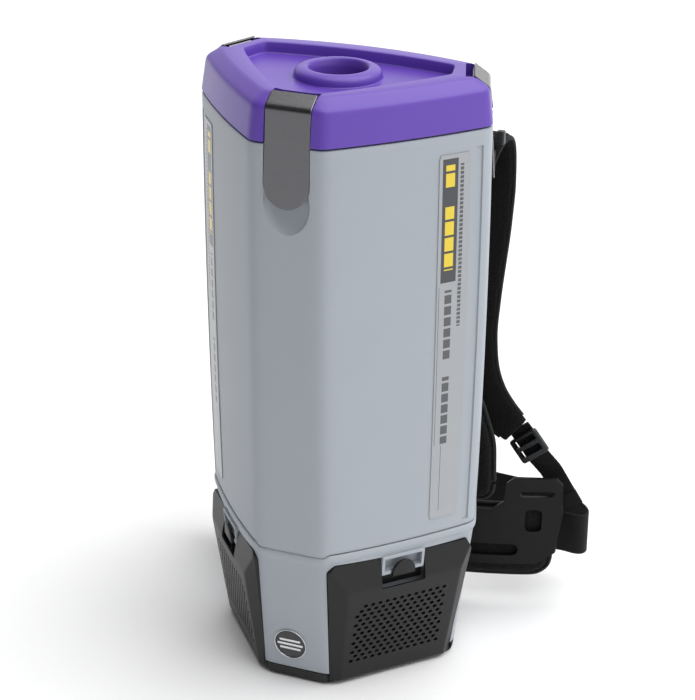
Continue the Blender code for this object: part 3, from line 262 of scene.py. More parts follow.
def foam(name, colour):
    """Open-cell foam: small pits of uneven size, painted darker at their middles as shade in the pits."""
    graph = Graph(name, roughness=0.95)
    cells = graph.node(
        "TexVoronoi", {"feature": "F1"}, {"Vector": graph.place(), "Scale": 1 / 0.0022, "Randomness": 1.0}
    )
    # Painted shade: each pit's colour falls to a third at its deepest middle and rises on the cell walls, following the
    # bump's height
    base = graph.mix((cells * 1.4).clip(), rgb(colour, 0.35), rgb(colour, 1.4))
    return graph.finish(base_color=base, normal=graph.bump(cells, 0.0007))


# ---------------------------------------------------------------- surfaces

def skin(points, wrap_rows=False, wrap_columns=False):
    """Quads over a grid of points (rows, columns, 3), optionally closed either way. Gives (points, faces)."""
    rows, columns = points.shape[:2]
    index = np.arange(rows * columns).reshape(rows, columns)
    if wrap_rows:
        index = np.vstack([index, index[:1]])
    if wrap_columns:
        index = np.hstack([index, index[:, :1]])
    faces = np.stack([index[:-1, :-1], index[:-1, 1:], index[1:, 1:], index[1:, :-1]], axis=-1)
    return points.reshape(-1, 3), faces.reshape(-1, 4)


def lengths(points, axis):
    """Distance run along one axis of a grid of points, from 0."""
    step = np.linalg.norm(np.diff(points, axis=axis), axis=-1)
    start = np.zeros_like(np.take(step, [0], axis=axis))
    return np.concatenate([start, np.cumsum(step, axis=axis)], axis=axis)


def form(name, parts, maps=None, angle=38.0):
    """A mesh object from (points, quads[, caps]) parts: merged, facing out, smooth up to an angle."""
    offset, points, faces = 0, [], []
    for part_points, quads, *caps in parts:
        points.append(part_points)
        faces += (quads + offset).tolist()
        faces += [(np.asarray(cap) + offset).tolist() for cap in (caps[0] if caps else [])]
        offset += len(part_points)
    mesh = bpy.data.meshes.new(name)
    mesh.from_pydata(np.concatenate(points).tolist(), [], faces)
    if maps is not None:
        flat = np.concatenate(maps)
        corner = np.empty(len(mesh.loops), np.int32)
        mesh.loops.foreach_get("vertex_index", corner)
        layer = mesh.uv_layers.new(name="skin")
        layer.data.foreach_set("uv", flat[corner].astype(np.float32).ravel())
    work = bmesh.new()
    work.from_mesh(mesh)
    bmesh.ops.remove_doubles(work, verts=work.verts, dist=MERGE)
    bmesh.ops.recalc_face_normals(work, faces=work.faces)
    if work.calc_volume(signed=True) < 0:
        bmesh.ops.reverse_faces(work, faces=work.faces)
    work.to_mesh(mesh)
    work.free()
    made = bpy.data.objects.new(name, mesh)
    bpy.context.scene.collection.objects.link(made)
    smooth(made, angle)
    return made


def smooth(made, angle=38.0):
    made.data.shade_smooth()
    made.data.set_sharp_from_angle(angle=math.radians(angle))


def dress(made, material, body, *nodes):
    """Gives a finished piece its material, the CAD nodes that it stands for and the body that it rides on."""
    made.data.materials.clear()
    made.data.materials.append(material)
    if nodes:
        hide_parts(*nodes)
    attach(made, body)
    return made


def combine(target, cutter, operation="DIFFERENCE", angle=38.0):
    """Cuts one closed piece from another, or joins it, exactly."""
    change = target.modifiers.new("cut", "BOOLEAN")
    change.operation, change.solver, change.object = operation, "EXACT", cutter
    graph = bpy.context.evaluated_depsgraph_get()
    target.data = bpy.data.meshes.new_from_object(target.evaluated_get(graph))
    target.modifiers.clear()
    bpy.data.objects.remove(cutter, do_unlink=True)
    smooth(target, angle)
    return target


def rings(points):
    """A skin over closed rings (rings, n, 3) with flat ends."""
    count = points.shape[1]
    first = np.arange(count)
    flat, quads = skin(points, wrap_columns=True)
    return flat, quads, [first[::-1], first + len(flat) - count]


def prism(outline, place, low, high):
    outline = np.asarray(outline, float)
    return rings(np.stack([place(outline[:, 0], outline[:, 1], h) for h in (low, high)]))


def block(low, high, place):
    (a0, b0, h0), (a1, b1, h1) = low, high
    return prism([(a0, b0), (a1, b0), (a1, b1), (a0, b1)], place, h0, h1)


def circle(radius, count=32, wide=1.0):
    t = np.linspace(0, 2 * math.pi, count, endpoint=False)
    return np.stack([radius * np.cos(t) * wide, radius * np.sin(t)], axis=-1)


def eased(outline, ease, count=160):
    """A closed polygon walked at even steps and averaged round its loop, so that its corners are rounded."""
    outline = np.asarray(outline, float)
    loop = np.vstack([outline, outline[:1]])
    run = lengths(loop[None], 1)[0]
    even = np.linspace(0, run[-1], count, endpoint=False)
    walked = np.stack([np.interp(even, run, loop[:, k]) for k in (0, 1)], axis=-1)
    bell = np.exp(-2 * (math.pi * np.fft.rfftfreq(count) * ease / (run[-1] / count)) ** 2)[:, None]
    return np.fft.irfft(np.fft.rfft(walked, axis=0) * bell, count, axis=0)


def inset(outline, by):
    """A closed outline moved inwards by the same amount everywhere."""
    way = np.roll(outline, -1, axis=0) - np.roll(outline, 1, axis=0)
    square = np.stack([way[:, 1], -way[:, 0]], axis=-1) / (np.linalg.norm(way, axis=-1, keepdims=True) + 1e-12)
    area = np.sum(outline[:, 0] * np.roll(outline[:, 1], -1) - np.roll(outline[:, 0], -1) * outline[:, 1])
    return outline - square * by * np.sign(area)


def slab(outline, place, low, high, ease=0.0008, steps=4, both=True):
    """A flat outline raised from low to high with rounded edges: each row is inset by a quarter circle's rise."""
    t = np.linspace(0, math.pi / 2, steps + 1)
    top = [(ease * (1 - math.cos(u)), high - ease * (1 - math.sin(u))) for u in t]
    foot = [(i, low + high - h) for i, h in top[::-1]] if both else [(0.0, low)]
    return rings(np.stack([place(*inset(outline, i).T, h) for i, h in foot + top]))


def tube(path, radius, count=20, squash=1.0):
    """A round bar along a path of points (n, 3) with flat ends."""
    path = np.asarray(path, float)
    way = np.gradient(path, axis=0)
    way /= np.linalg.norm(way, axis=1, keepdims=True)
    guess = np.array([0.0, 0.0, 1.0]) if abs(way[0, 2]) < 0.9 else np.array([1.0, 0.0, 0.0])
    side = np.cross(way, guess)
    side /= np.linalg.norm(side, axis=1, keepdims=True)
    up = np.cross(side, way)
    loop = circle(1.0, count)
    radius = np.broadcast_to(np.asarray(radius, float), (len(path),))
    return rings(
        path[:, None] + radius[:, None, None]
        * (loop[None, :, :1] * side[:, None] + loop[None, :, 1:] * squash * up[:, None])
    )


def turned(profile, centre=(0.0, 0.0), count=128, closed=False):
    """A profile of (radius, height) turned about a vertical axis; closed joins its ends."""
    profile = np.asarray(profile, float)
    t = np.linspace(0, 2 * math.pi, count, endpoint=False)
    points = np.stack([
        centre[0] + profile[:, :1] * np.cos(t), centre[1] + profile[:, :1] * np.sin(t),
        np.broadcast_to(profile[:, 1:], (len(profile), count)),
    ], axis=-1)
    return skin(points, wrap_rows=closed, wrap_columns=True)


def mirror(points):
    return points * np.array([-1.0, 1.0, 1.0])


def soften(path, width, step=0.0002):
    """A polyline (n, k) walked at even steps and averaged over a bell of this width, so that its corners round off."""
    run = lengths(path[None], 1)[0]
    count = max(int(run[-1] / step), 16)
    even = np.linspace(0, run[-1], count)
    walked = np.stack([np.interp(even, run, path[:, k]) for k in range(path.shape[1])], axis=-1)
    reach = max(int(3 * width / (run[-1] / count)), 1)
    bell = np.exp(-0.5 * (np.arange(-reach, reach + 1) / (reach / 3)) ** 2)
    bell /= bell.sum()
    ends = np.concatenate([2 * walked[:1] - walked[reach:0:-1], walked, 2 * walked[-1:] - walked[-2:-reach - 2:-1]])
    return np.stack([np.convolve(ends[:, k], bell, "valid") for k in range(path.shape[1])], axis=-1)


def along_path(path, at):
    """Points of a polyline at fractions of its length."""
    run = lengths(path[None], 1)[0]
    return np.stack([np.interp(at * run[-1], run, path[:, k]) for k in range(path.shape[1])], axis=-1)


def step(value, low, high):
    """0 below low, 1 above high and smooth between."""
    t = np.clip((value - low) / (high - low), 0, 1)
    return t * t * (3 - 2 * t)


def measures(z):
    """Front reach and corner middle at heights z: straight between the levels, with a slight belly above the base."""
    z = np.clip(np.asarray(z, float), 0, LID_SEAM)
    front, x, y = (np.interp(z, LEVELS[:, 0], LEVELS[:, k]) for k in (1, 2, 3))
    t = np.clip((z - BASE_TOP) / (LID_SEAM - BASE_TOP), 0, 1)
    belly = BULGE * 4 * t * (1 - t)
    return front + belly, x + belly, y


def crossing(p, d, q, e):
    t = (
        (q[..., 0] - p[..., 0]) * e[..., 1] - (q[..., 1] - p[..., 1]) * e[..., 0]
    ) / (d[..., 0] * e[..., 1] - d[..., 1] * e[..., 0])
    return p + d * t[..., None]


def plan_corners(front, x, y, inset, front_half=FRONT_HALF, corner_half=CORNER_HALF, turn=TURN):
    """Sharp corners (front, near, far) of the right half of the plan, every side moved in by inset."""
    along = np.array([-math.sin(turn), math.cos(turn)])
    out = np.array([math.cos(turn), math.sin(turn)])
    flat = np.broadcast_to(np.array([1.0, 0.0]), (len(front), 2))
    a = np.stack([np.full_like(front, front_half), -front], axis=-1)
    middle = np.stack([x, y], axis=-1)
    b, c = middle - along * corner_half, middle + along * corner_half
    side = b - a
    square = np.stack([side[:, 1], -side[:, 0]], axis=-1) / np.linalg.norm(side, axis=-1, keepdims=True)
    start = np.stack([np.zeros_like(front), -front + inset], axis=-1)
    end = np.stack([np.zeros_like(front), c[:, 1] - inset], axis=-1)
    facet = np.broadcast_to(along, side.shape)
    first = crossing(start, flat, a - square * inset[:, None], side)
    second = crossing(a - square * inset[:, None], side, b - out * inset[:, None], facet)
    third = crossing(b - out * inset[:, None], facet, end, flat)
    return first, second, third


def plan(front, x, y, inset, ease=0.0066, side_bow=SIDE_BOW, back_bow=BACK_BOW, **more):
    """Plans (heights, samples, 2), from the front's middle round by +X: facets and bowed sides walked at even steps,
    then averaged along their length over a bell of width ease, which rounds the corners."""
    front, x, y = (np.atleast_1d(np.asarray(v, float)) for v in (front, x, y))
    inset = np.broadcast_to(np.asarray(inset, float), front.shape)
    f, n, b = plan_corners(front, x, y, inset, **more)
    t = np.linspace(0, 1, 160)[None, :, None]

    def bowed(p, q, bow):
        d = (q - p)[:, None]
        square = np.stack([d[..., 1], -d[..., 0]], axis=-1) / np.linalg.norm(d, axis=-1, keepdims=True)
        return p[:, None] + d * t + square * bow * 4 * t * (1 - t)

    start = f * np.array([0.0, 1.0])
    left = b * np.array([-1.0, 1.0])
    legs = [bowed(start, f, 0), bowed(f, n, side_bow), bowed(n, b, 0), bowed(b, left, back_bow)[:, :80]]
    half = np.concatenate(legs, axis=1)
    run = lengths(half, 1)
    count = SAMPLES // 2
    made = np.empty((len(front), SAMPLES, 2))
    for i in range(len(front)):
        even = np.linspace(0, run[i, -1], count + 1)
        walked = np.stack([np.interp(even, run[i], half[i, :, k]) for k in (0, 1)], axis=-1)
        made[i] = np.concatenate([walked, walked[-2:0:-1] * np.array([-1.0, 1.0])])
    spacing = run[:, -1] / count
    wave = np.fft.rfftfreq(SAMPLES)[None, :, None]
    bell = np.exp(-2 * (math.pi * wave * (ease / spacing)[:, None, None]) ** 2)
    return np.fft.irfft(np.fft.rfft(made, axis=1) * bell, SAMPLES, axis=1)


def canister_plan(z, inset=0.0, **more):
    return plan(*measures(z), inset, **more)


def lid_plan(inset, **more):
    inset = np.atleast_1d(np.asarray(inset, float))
    return canister_plan(np.full(len(inset), LID_SEAM), inset, **{"ease": LID_EASE, **more})


def recess_plan(inset):
    inset = np.atleast_1d(np.asarray(inset, float))
    one = np.ones(len(inset))
    return plan(
        one * 0.0925, one * 0.1003, one * 0.0330, inset, 0.0034, 0.003, 0.010, front_half=0.0205,
        corner_half=0.0155, turn=math.radians(14)
    )


class Facet:
    """A flat facet of the canister: its seat at the lid's seam, outward and along directions, seen from above."""

    def __init__(self, kind):
        self.kind = kind
        front, x, y = (float(v) for v in measures(LID_SEAM))
        turn = -math.pi / 2 if kind == "front" else TURN
        self.out = np.array([math.cos(turn), math.sin(turn)])
        self.along = np.array([-self.out[1], self.out[0]])
        self.seat = np.array([0.0, -front]) if kind == "front" else np.array([x, y])

    def reach(self, z):
        """How far the canister's skin stands out of the seat at heights z."""
        front, x, y = measures(z)
        if self.kind == "front":
            return front + self.seat[1]
        return (x - self.seat[0]) * self.out[0] + (y - self.seat[1]) * self.out[1]

    def world(self, a, out, z):
        flat = self.seat + self.along * np.asarray(a)[..., None] + self.out * np.asarray(out)[..., None]
        return np.concatenate(
            [flat, np.broadcast_to(np.asarray(z, float)[..., None], flat.shape[:-1] + (1,))], axis=-1
        )


class LatchLine:
    """Side view (out, z) of a latch plate's front face: tip, bend and head, and the plate's own axes."""

    def __init__(self, facet):
        tip_z = LID_SEAM - 0.0586
        self.tip = np.array([float(facet.reach(tip_z)) + 0.0030, tip_z])
        self.bend = np.array([-0.0034, LID_BEND])
        self.head = np.array([-0.0174, LID_TOP + 0.0002])
        self.lay = (self.bend - self.tip) / np.linalg.norm(self.bend - self.tip)
        self.face = np.array([self.lay[1], -self.lay[0]])
        self.round = self.tip + self.lay * LATCH_HALF
        slope = (self.bend - self.head) / np.linalg.norm(self.bend - self.head)
        self.pin = self.head + slope * 0.0030 - np.array([-slope[1], slope[0]]) * 0.0046



FRONT, SIDE = Facet("front"), Facet("side")
LINES = {facet.kind: LatchLine(facet) for facet in (FRONT, SIDE)}


def fraction_where(outline, seat, along, middle, wanted, reach):
    """Fractions round an outline where its run along a facet takes the wanted values, near fraction middle."""
    places = np.arange(int((middle - reach) * SAMPLES), int((middle + reach) * SAMPLES) + 1)
    run = (outline[places % SAMPLES] - seat) @ along
    return np.interp(wanted, run, places / SAMPLES)


def pick(outline, fractions):
    """Points of a closed outline at fractions round it."""
    at = np.asarray(fractions) * SAMPLES
    low = np.floor(at).astype(int)
    t = (at - low)[:, None]
    return outline[low % SAMPLES] * (1 - t) + outline[(low + 1) % SAMPLES] * t


ZONE = np.concatenate([np.linspace(0, 0.0216, 27), [0.0222, 0.0226, 0.0228, 0.0232, 0.0240, 0.0252]])
ZONE_BOTH = np.concatenate([-ZONE[:0:-1], ZONE])
GROOVE = np.array([0.895, 0.902, 0.905, 0.907, 0.9225, 0.938, 0.940, 0.943, 0.950])


def half_columns(outline, ends=None):
    """Fractions round the right half of one plan: columns keyed to the front facet, to the groove (between the side's sharp
    ends, where given) and to the corner facet."""
    corner = np.argmax(((outline - SIDE.seat) @ SIDE.out)[: SAMPLES // 2]) / SAMPLES
    front = fraction_where(outline, FRONT.seat, FRONT.along, 0.0, ZONE, 0.12)
    facet = fraction_where(outline, SIDE.seat, SIDE.along, corner, ZONE_BOTH, 0.09)
    end = front[-1]
    if ends is None:
        groove = end + (facet[0] - end) * np.linspace(0.88, 0.96, len(GROOVE))
    else:
        chord = ends[1] - ends[0]
        run = (outline[: SAMPLES // 2] - ends[0]) @ chord / (chord @ chord)
        top = np.argmax(run)
        groove = np.interp(GROOVE, run[:top], np.arange(top) / SAMPLES)
    return np.concatenate([
        front, np.linspace(end, groove[0], SIDES)[1:-1], groove, np.linspace(groove[-1], facet[0], 9)[1:-1], facet,
        np.linspace(facet[-1], 0.5, BACKS)[1:],
    ])


FRONT_COUNT = len(ZONE)
SIDES, BACKS = 70, 44
GROOVE_START = FRONT_COUNT + SIDES - 2
FACET_START = GROOVE_START + len(GROOVE) + 7
FACET_COUNT = len(ZONE_BOTH)


def half_grid(outlines, z=None):
    """Right-half points (rows, columns, 2) of several plans at their keyed columns; with heights, the groove is
    keyed too."""
    ends = [None] * len(outlines)
    if z is not None:
        ends = list(zip(*plan_corners(*measures(z), np.zeros(len(z)))[:2]))
    return np.stack([pick(outline, half_columns(outline, end)) for outline, end in zip(outlines, ends)])


def lift(half, z):
    """Half plans (rows, columns, 2) with a height (rows) or heights (rows, columns) added as the third coordinate."""
    z = np.asarray(z, float)
    if z.ndim == 1:
        z = z[:, None]
    return np.concatenate([half, np.broadcast_to(z, half.shape[:2])[..., None]], axis=-1)


def whole(points):
    """Right-half columns and their mirror image as full rings."""
    return np.concatenate([points, mirror(points[:, -2:0:-1])], axis=1)


# ---------------------------------------------------------------- places on the canister

def on_plate(facet, a, b, h):
    """World points on a latch plate: a across it, b up it from the middle of its round end, h out of its face."""
    line = LINES[facet.kind]
    a, b, h = np.broadcast_arrays(a, b, h)
    flat = line.round[0] + line.lay[0] * b + line.face[0] * h
    return facet.world(a, flat, line.round[1] + line.lay[1] * b + line.face[1] * h)


class SideFace:
    """Mean plane of the base's right-hand side: along, up and out about its centre."""

    def __init__(self):
        ends = []
        for z in (0.0, BASE_TOP):
            f, n, _ = plan_corners(*(np.atleast_1d(v) for v in measures(z)), np.zeros(1))
            ends.append((np.append(f[0], z), np.append(n[0], z)))
        (c, d), (a, b) = ends
        self.middle = (a + b + c + d) / 4
        self.out = np.cross(b - a, a - c + b - d)
        self.out *= np.sign(self.out[0]) / np.linalg.norm(self.out)
        run = b - a + d - c
        run -= self.out * (run @ self.out)
        self.along = run / np.linalg.norm(run)
        self.up = np.cross(self.out, self.along)
        self.up *= np.sign(self.up[2])

    def at(self, a, b, h):
        a, b, h = (np.asarray(v, float)[..., None] for v in np.broadcast_arrays(a, b, h))
        return self.middle + self.along * a + self.up * b + self.out * h


FACE = SideFace()
SIDES_BOTH = ((1, "right"), (-1, "left"))


def sided(place, sign):
    """The same placing on the right (1) or mirrored to the left (-1)."""
    return lambda a, b, h: place(a, b, h) * np.array([sign, 1.0, 1.0])


def grid_rows(outlines, z):
    """Full rings (rows, columns, 3) from the plans of each row at its height."""
    return whole(lift(half_grid(outlines), z))


# ---------------------------------------------------------------- body, base and lid

def make_body(material):
    """Shell: the plan of each height laid as a ring, rows close together near the seams; the groove beside each corner
    facet is pushed in between its columns, and the seam dips a little under the front facet."""
    low, top = BASE_TOP - 0.0002, LID_SEAM - 0.0010
    wall_z = np.concatenate([
        [low + 0.0034, BASE_TOP + 0.0057, BASE_TOP + 0.0063, 0.166], np.linspace(0.175, 0.532, 46),
        [LID_SEAM - 0.0163, LID_SEAM - 0.0157, 0.5475, top - 0.0014],
    ])
    rows = [(low, 0.0012), (low + 0.0008, 0.0005), (low + 0.0019, 0.0001)] + [(z, 0.0) for z in wall_z]
    rows += [
        (top - 0.0006, 0.0002), (top, 0.0010), (top, 0.0070), (top + 0.0084, 0.0070), (top + 0.0090, 0.0076),
        (top + 0.0090, 0.0090), (top + 0.0084, 0.0095), (top - 0.006, 0.0095), (top - 0.011, 0.0035)
    ]
    rows += [(z, 0.0035) for z in wall_z[::-4]] + [(low, 0.0035)]
    rows = np.array(rows)
    half = half_grid(canister_plan(rows[:, 0], rows[:, 1]), rows[:, 0])
    z = np.broadcast_to(rows[:, :1], half.shape[:2]).copy()
    count = len(wall_z)
    wall = slice(3, 3 + count)
    middle = slice(GROOVE_START + 2, GROOVE_START + len(GROOVE) - 2)
    near, far = half[wall, GROOVE_START], half[wall, GROOVE_START + len(GROOVE) - 1]
    chord = far - near
    square = np.stack([chord[:, 1], -chord[:, 0]], axis=-1) / np.linalg.norm(chord, axis=-1, keepdims=True)
    deep = (wall_z > BASE_TOP + 0.006) & (wall_z < LID_SEAM - 0.016)
    half[wall, middle] -= square[:, None] * (0.0016 * deep)[:, None, None]
    run = np.abs(half[..., 0]) + np.where(half[..., 1] < -0.05, 0, 1)
    z -= DIP * (1 - step(run, 0.0330, 0.0385)) * (1 - step(z, low, low + 0.030))
    inner = slice(len(rows) - len(wall_z[::-4]) - 2, len(rows))
    for facet, columns in ((FRONT, slice(0, FRONT_COUNT)), (SIDE, slice(FACET_START, FACET_START + FACET_COUNT))):
        spot = half[inner, columns] - facet.seat
        out = spot @ facet.out
        back = step(z[inner, columns], 0.440, 0.460) * (np.minimum(out, -0.0128) - out)
        half[inner, columns] += back[..., None] * facet.out
    points = whole(lift(half, z))
    shell = form("canister_body", [skin(points, wrap_rows=True, wrap_columns=True)])
    half_wide = LATCH_HALF + FIT
    arc = np.linspace(math.pi, 2 * math.pi, 33)
    channel = np.concatenate(
        [[(half_wide, 0.2), (-half_wide, 0.2)], np.stack([half_wide * np.cos(arc), half_wide * np.sin(arc)], axis=-1)]
    )
    t, u = np.linspace(0, 2 * math.pi, 72, endpoint=False), np.linspace(0.02, math.pi - 0.02, 36)[:, None]
    for facet, sign in ((FRONT, 1), (SIDE, 1), (SIDE, -1)):
        place = sided(lambda a, b, h, facet=facet: on_plate(facet, a, b, h), sign)
        combine(shell, form("channel", [prism(channel, place, -0.0024, 0.03)]))
        ball = place(
            0.0226 * np.sin(u) * np.cos(t), -0.0179 + 0.030 * np.sin(u) * np.sin(t),
            -0.0026 + 0.0085 * np.cos(u) + 0 * t
        )
        combine(shell, form("scoop", [rings(ball)]), angle=30)
    return dress(shell, material, "canister", "body_shell")


def make_base(material, dark):
    """Base housing and its bumper: leaning rings with a light collar at the top, then the cover's pocket, the filter's
    window and the hinge groove cut out on both sides."""
    foot, top, ledge = FOOT + 0.0004, BASE_TOP - 0.0008, BASE_TOP - 0.0236
    outer = np.array([(foot, 0.0006), (foot + 0.0008, 0.0)] + [
        (z, 0.0) for z in np.linspace(0.020, top - 0.0100, 22)
    ] + [
        (top - 0.0092, -0.0002), (top - 0.0078, -0.0009), (top - 0.0064, -0.0013),
        (top - 0.0048, -0.0015), (top - 0.0024, -0.0014), (top - 0.0008, -0.0009), (top - 0.0001, -0.0001),
    ])
    inner = np.array([(top, 0.0065), (ledge, 0.0065), (ledge, 0.0125), (foot + 0.004, 0.0125)])
    drawn = canister_plan(outer[:, 0], outer[:, 1])
    drawn_in = canister_plan(inner[:, 0], inner[:, 1], side_bow=0.0)
    half = half_grid(np.concatenate([drawn, drawn_in]))
    z = np.broadcast_to(np.concatenate([outer[:, :1], inner[:, :1]]), half.shape[:2]).copy()
    run = np.abs(half[..., 0]) + np.where(half[..., 1] < -0.05, 0, 1)
    upper = np.arange(len(z)) < len(outer)
    z -= DIP * (1 - step(run, 0.0330, 0.0385)) * step(z, top - 0.030, top - 0.0005) * upper[:, None]
    base = form("canister_base", [rings(whole(lift(half, z)))])
    bump = np.array(
        [
            (0.0, 0.0040), (0.0006, 0.0026), (0.0018, 0.0012), (0.0035, 0.0005), (0.006, 0.0), (0.010, 0.0),
            (0.0119, 0.0001), (FOOT, 0.0007)
        ]
    )
    drawn = canister_plan(bump[:, 0], bump[:, 1])
    bumper = form("floor_bumper", [rings(grid_rows(drawn, bump[:, 0]))])
    pocket = inset(eased(COVER_EDGE, 0.0016, 240), -0.0006)
    window = eased([(-0.052, -0.0515), (0.052, -0.0515), (0.052, 0.0215), (-0.052, 0.0215)], 0.0015)
    for sign, _ in SIDES_BOTH:
        place = sided(FACE.at, sign)
        for piece in (base, bumper):
            combine(piece, form("pocket", [prism(pocket, place, -0.0031, 0.04)]))
            combine(piece, form("groove", [block((-0.0715, -0.0795, -0.0056), (0.0700, -0.0640, 0.02), place)]))
        combine(base, form("window", [prism(window, place, -0.06, 0.03)]))
        frame_parts(sign, place, material)
    dress(bumper, dark, "canister", "base_bumper")
    return dress(base, material, "canister", "base_housing")


def frame_parts(sign, place, material):
    """Light U frame round the release tab, rising out of the pocket: two arms, a foot bar and a set-back wall."""
    side = "right" if sign > 0 else "left"
    shell = form(
        "tab_frame_" + side,
        [
            slab(
                eased([(-0.0234, 0.0430), (0.0234, 0.0430), (0.0234, 0.0635), (-0.0234, 0.0635)], 0.0009, 200),
                place, -0.0030, 0.0068, 0.0007
            )
        ]
    )
    combine(
        shell,
        form(
            "well",
            [
                prism(
                    eased([(-0.0204, 0.0466), (0.0204, 0.0466), (0.0204, 0.0606), (-0.0204, 0.0606)], 0.0008, 200),
                    place, -0.0010, 0.03
                )
            ]
        )
    )
    combine(shell, form("gate", [block((-0.0132, 0.0330, 0.0030), (0.0132, 0.0530, 0.03), place)]))
    dress(shell, material, "canister")


COVER_EDGE = (
    (-0.0686, -0.0715), (-0.0798, 0.0570), (-0.0731, 0.0632), (0.0729, 0.0600), (0.0797, 0.0470),
    (0.0653, -0.0715)
)


def soft_min(values, ease):
    """Lowest of several heights, blended where they meet."""
    values = np.stack(values)
    low = values.min(axis=0)
    return low - ease * np.log(np.exp(-(values - low) / ease).sum(axis=0))


def plane_over(p, q, r):
    """Height over (a, b) of the plane through three points (a, b, h)."""
    m = np.linalg.solve(np.array([[p[0], p[1], 1], [q[0], q[1], 1], [r[0], r[1], 1]]), np.array([p[2], q[2], r[2]]))
    return lambda a, b: m[0] * a + m[1] * b + m[2]


ROOF = [
    plane_over((-0.06, -0.069, 0.0033), (0.06, -0.069, 0.0033), (0, 0.0335, 0.0104)),
    plane_over((-0.0615, 0.0335, 0.0104), (0.0650, 0.0335, 0.0104), (0, 0.0616, 0.0027)),
    plane_over((-0.0590, -0.0690, 0.0033), (-0.0615, 0.0335, 0.0104), (-0.0798, 0.0570, 0.0027)),
    plane_over((0.0575, -0.0690, 0.0033), (0.0650, 0.0335, 0.0104), (0.0797, 0.0470, 0.0027)),
    plane_over((-0.06, -0.0715, 0.0025), (0.06, -0.0715, 0.0025), (0, -0.069, 0.0036)),
]


def roof(a, b):
    """Hipped cover: the lowest of its five planes, blended along the creases, bowed a little across."""
    return soft_min(
        [plane(a, b) for plane in ROOF], 0.00035
    ) + 0.0006 * (1 - (a / 0.075) ** 2) * step(b, -0.0715, -0.04)


def loop_of(grid):
    """The rim of a grid, once round."""
    return np.concatenate([grid[0, :-1], grid[:-1, -1], grid[-1, :0:-1], grid[:0:-1, 0]])


def hole_rows():
    """Middles of the staggered slots: 13 rows of 13, every other row half a pitch along."""
    row = np.arange(13)[:, None]
    column = np.arange(13)[None, :]
    b = 0.0149 - row * 0.00536 + 0 * column
    start = np.where(row % 2 == 0, -0.0483, -0.0443) - row * 0.00015
    a = start + column * 0.0080
    keep = (a < 0.0495) & ~((row == 0) & (column == 0))
    return np.stack([a, b], axis=-1)[keep]


def make_cover(sign, side, material):
    """Exhaust cover: a grid of rows and columns that follows its six-sided edge, raised to the roof's height; the
    back is the same surface set in, and the slots, notch and tab room go through it."""
    place = sided(FACE.at, sign)
    s, t = np.linspace(0, 1, 130)[:, None], np.linspace(0, 1, 150)[None, :]
    height = np.linspace(-0.075, 0.067, 800)
    bell = np.exp(-0.5 * (np.arange(-18, 19) / 6) ** 2)
    left = np.convolve(
        np.interp(height, [-0.0715, 0.0570, 0.0632], [-0.0686, -0.0798, -0.0731]), bell / bell.sum(), "same"
    )
    right = np.convolve(
        np.interp(height, [-0.0715, 0.0470, 0.0600], [0.0653, 0.0797, 0.0729]), bell / bell.sum(), "same"
    )
    b_low = -0.0712
    b0 = b_low + s * (0.0622 - b_low) + 0 * t
    for _ in range(4):
        al, ar = np.interp(b0, height, left), np.interp(b0, height, right)
        a0 = al + (ar - al) * t
        b0 = b_low + s * (np.interp(a0, [-0.0731, 0.0729], [0.0630, 0.0598]) - b_low)
    a, b = a0, b0
    h = roof(a, b)
    outer = place(a, b, h)
    shrink_a, shrink_b = a * 0.972, -0.004 + (b + 0.004) * 0.966
    inner = place(shrink_a, shrink_b, np.maximum(h - 0.0021, 0.0001))
    low = place(a, b, -0.0026)
    low_in = place(shrink_a, shrink_b, -0.0026)
    strip = np.stack([loop_of(outer), loop_of(low), loop_of(low_in), loop_of(inner)])
    cover = form("vent_cover_" + side, [skin(outer), skin(inner), skin(strip, wrap_columns=True)])
    slots = []
    ring = circle(1.0, 14)
    for row in hole_rows():
        slots.append(prism(row + ring * np.array([0.00235, 0.00178]), place, -0.02, 0.03))
    combine(cover, form("slots", slots))
    notch = eased([(-0.0240, 0.0305), (0.0240, 0.0305), (0.0240, 0.09), (-0.0240, 0.09)], 0.0008, 200)
    combine(cover, form("notch", [prism(notch, place, 0.0008, 0.03)]))
    combine(cover, form("back", [block((-0.0240, 0.0422, -0.02), (0.0240, 0.09, 0.03), place)]))
    combine(cover, form("room", [block((-0.0135, 0.0397, -0.02), (0.0135, 0.09, 0.03), place)]), angle=32)
    ledge = form("notch_ledge_" + side, [block((-0.0246, 0.0290, -0.0014), (0.0246, 0.0418, 0.0007), place)])
    dress(ledge, material, "cover_" + side)
    arc = np.linspace(0, math.pi, 40)
    tab_line = np.concatenate(
        [
            np.stack([0.0125 * np.cos(arc), 0.0445 + 0.0125 * np.sin(arc)], axis=-1),
            [(-0.0125, 0.0405), (0.0125, 0.0405)]
        ]
    )
    tab = form("release_tab_" + side, [slab(eased(tab_line, 0.0005, 160), place, 0.0062, 0.0098, 0.0012)])
    dress(tab, material, "tab_" + side, "cover_tab_" + side)
    return dress(cover, material, "cover_" + side, "exhaust_cover_" + side)


# Hose ring's profile: radius, and height over the recess floor
HOSE_RING = (
    (0.0440, 0.0), (0.0418, 0.0001), (0.0411, 0.0008), (0.0410, 0.0022), (0.0406, 0.0046), (0.0398, 0.0064),
    (0.0385, 0.0078), (0.0368, 0.0087), (0.0350, 0.0093), (0.0334, 0.0097), (0.0320, 0.0099), (0.0308, 0.0100),
    (0.0298, 0.0100), (0.0290, 0.0098), (0.0284, 0.0094), (0.0279, 0.0088), (0.0274, 0.0078), (0.0268, 0.0062),
    (0.0261, 0.0040), (0.0257, 0.0015), (0.0257, -0.010),
)


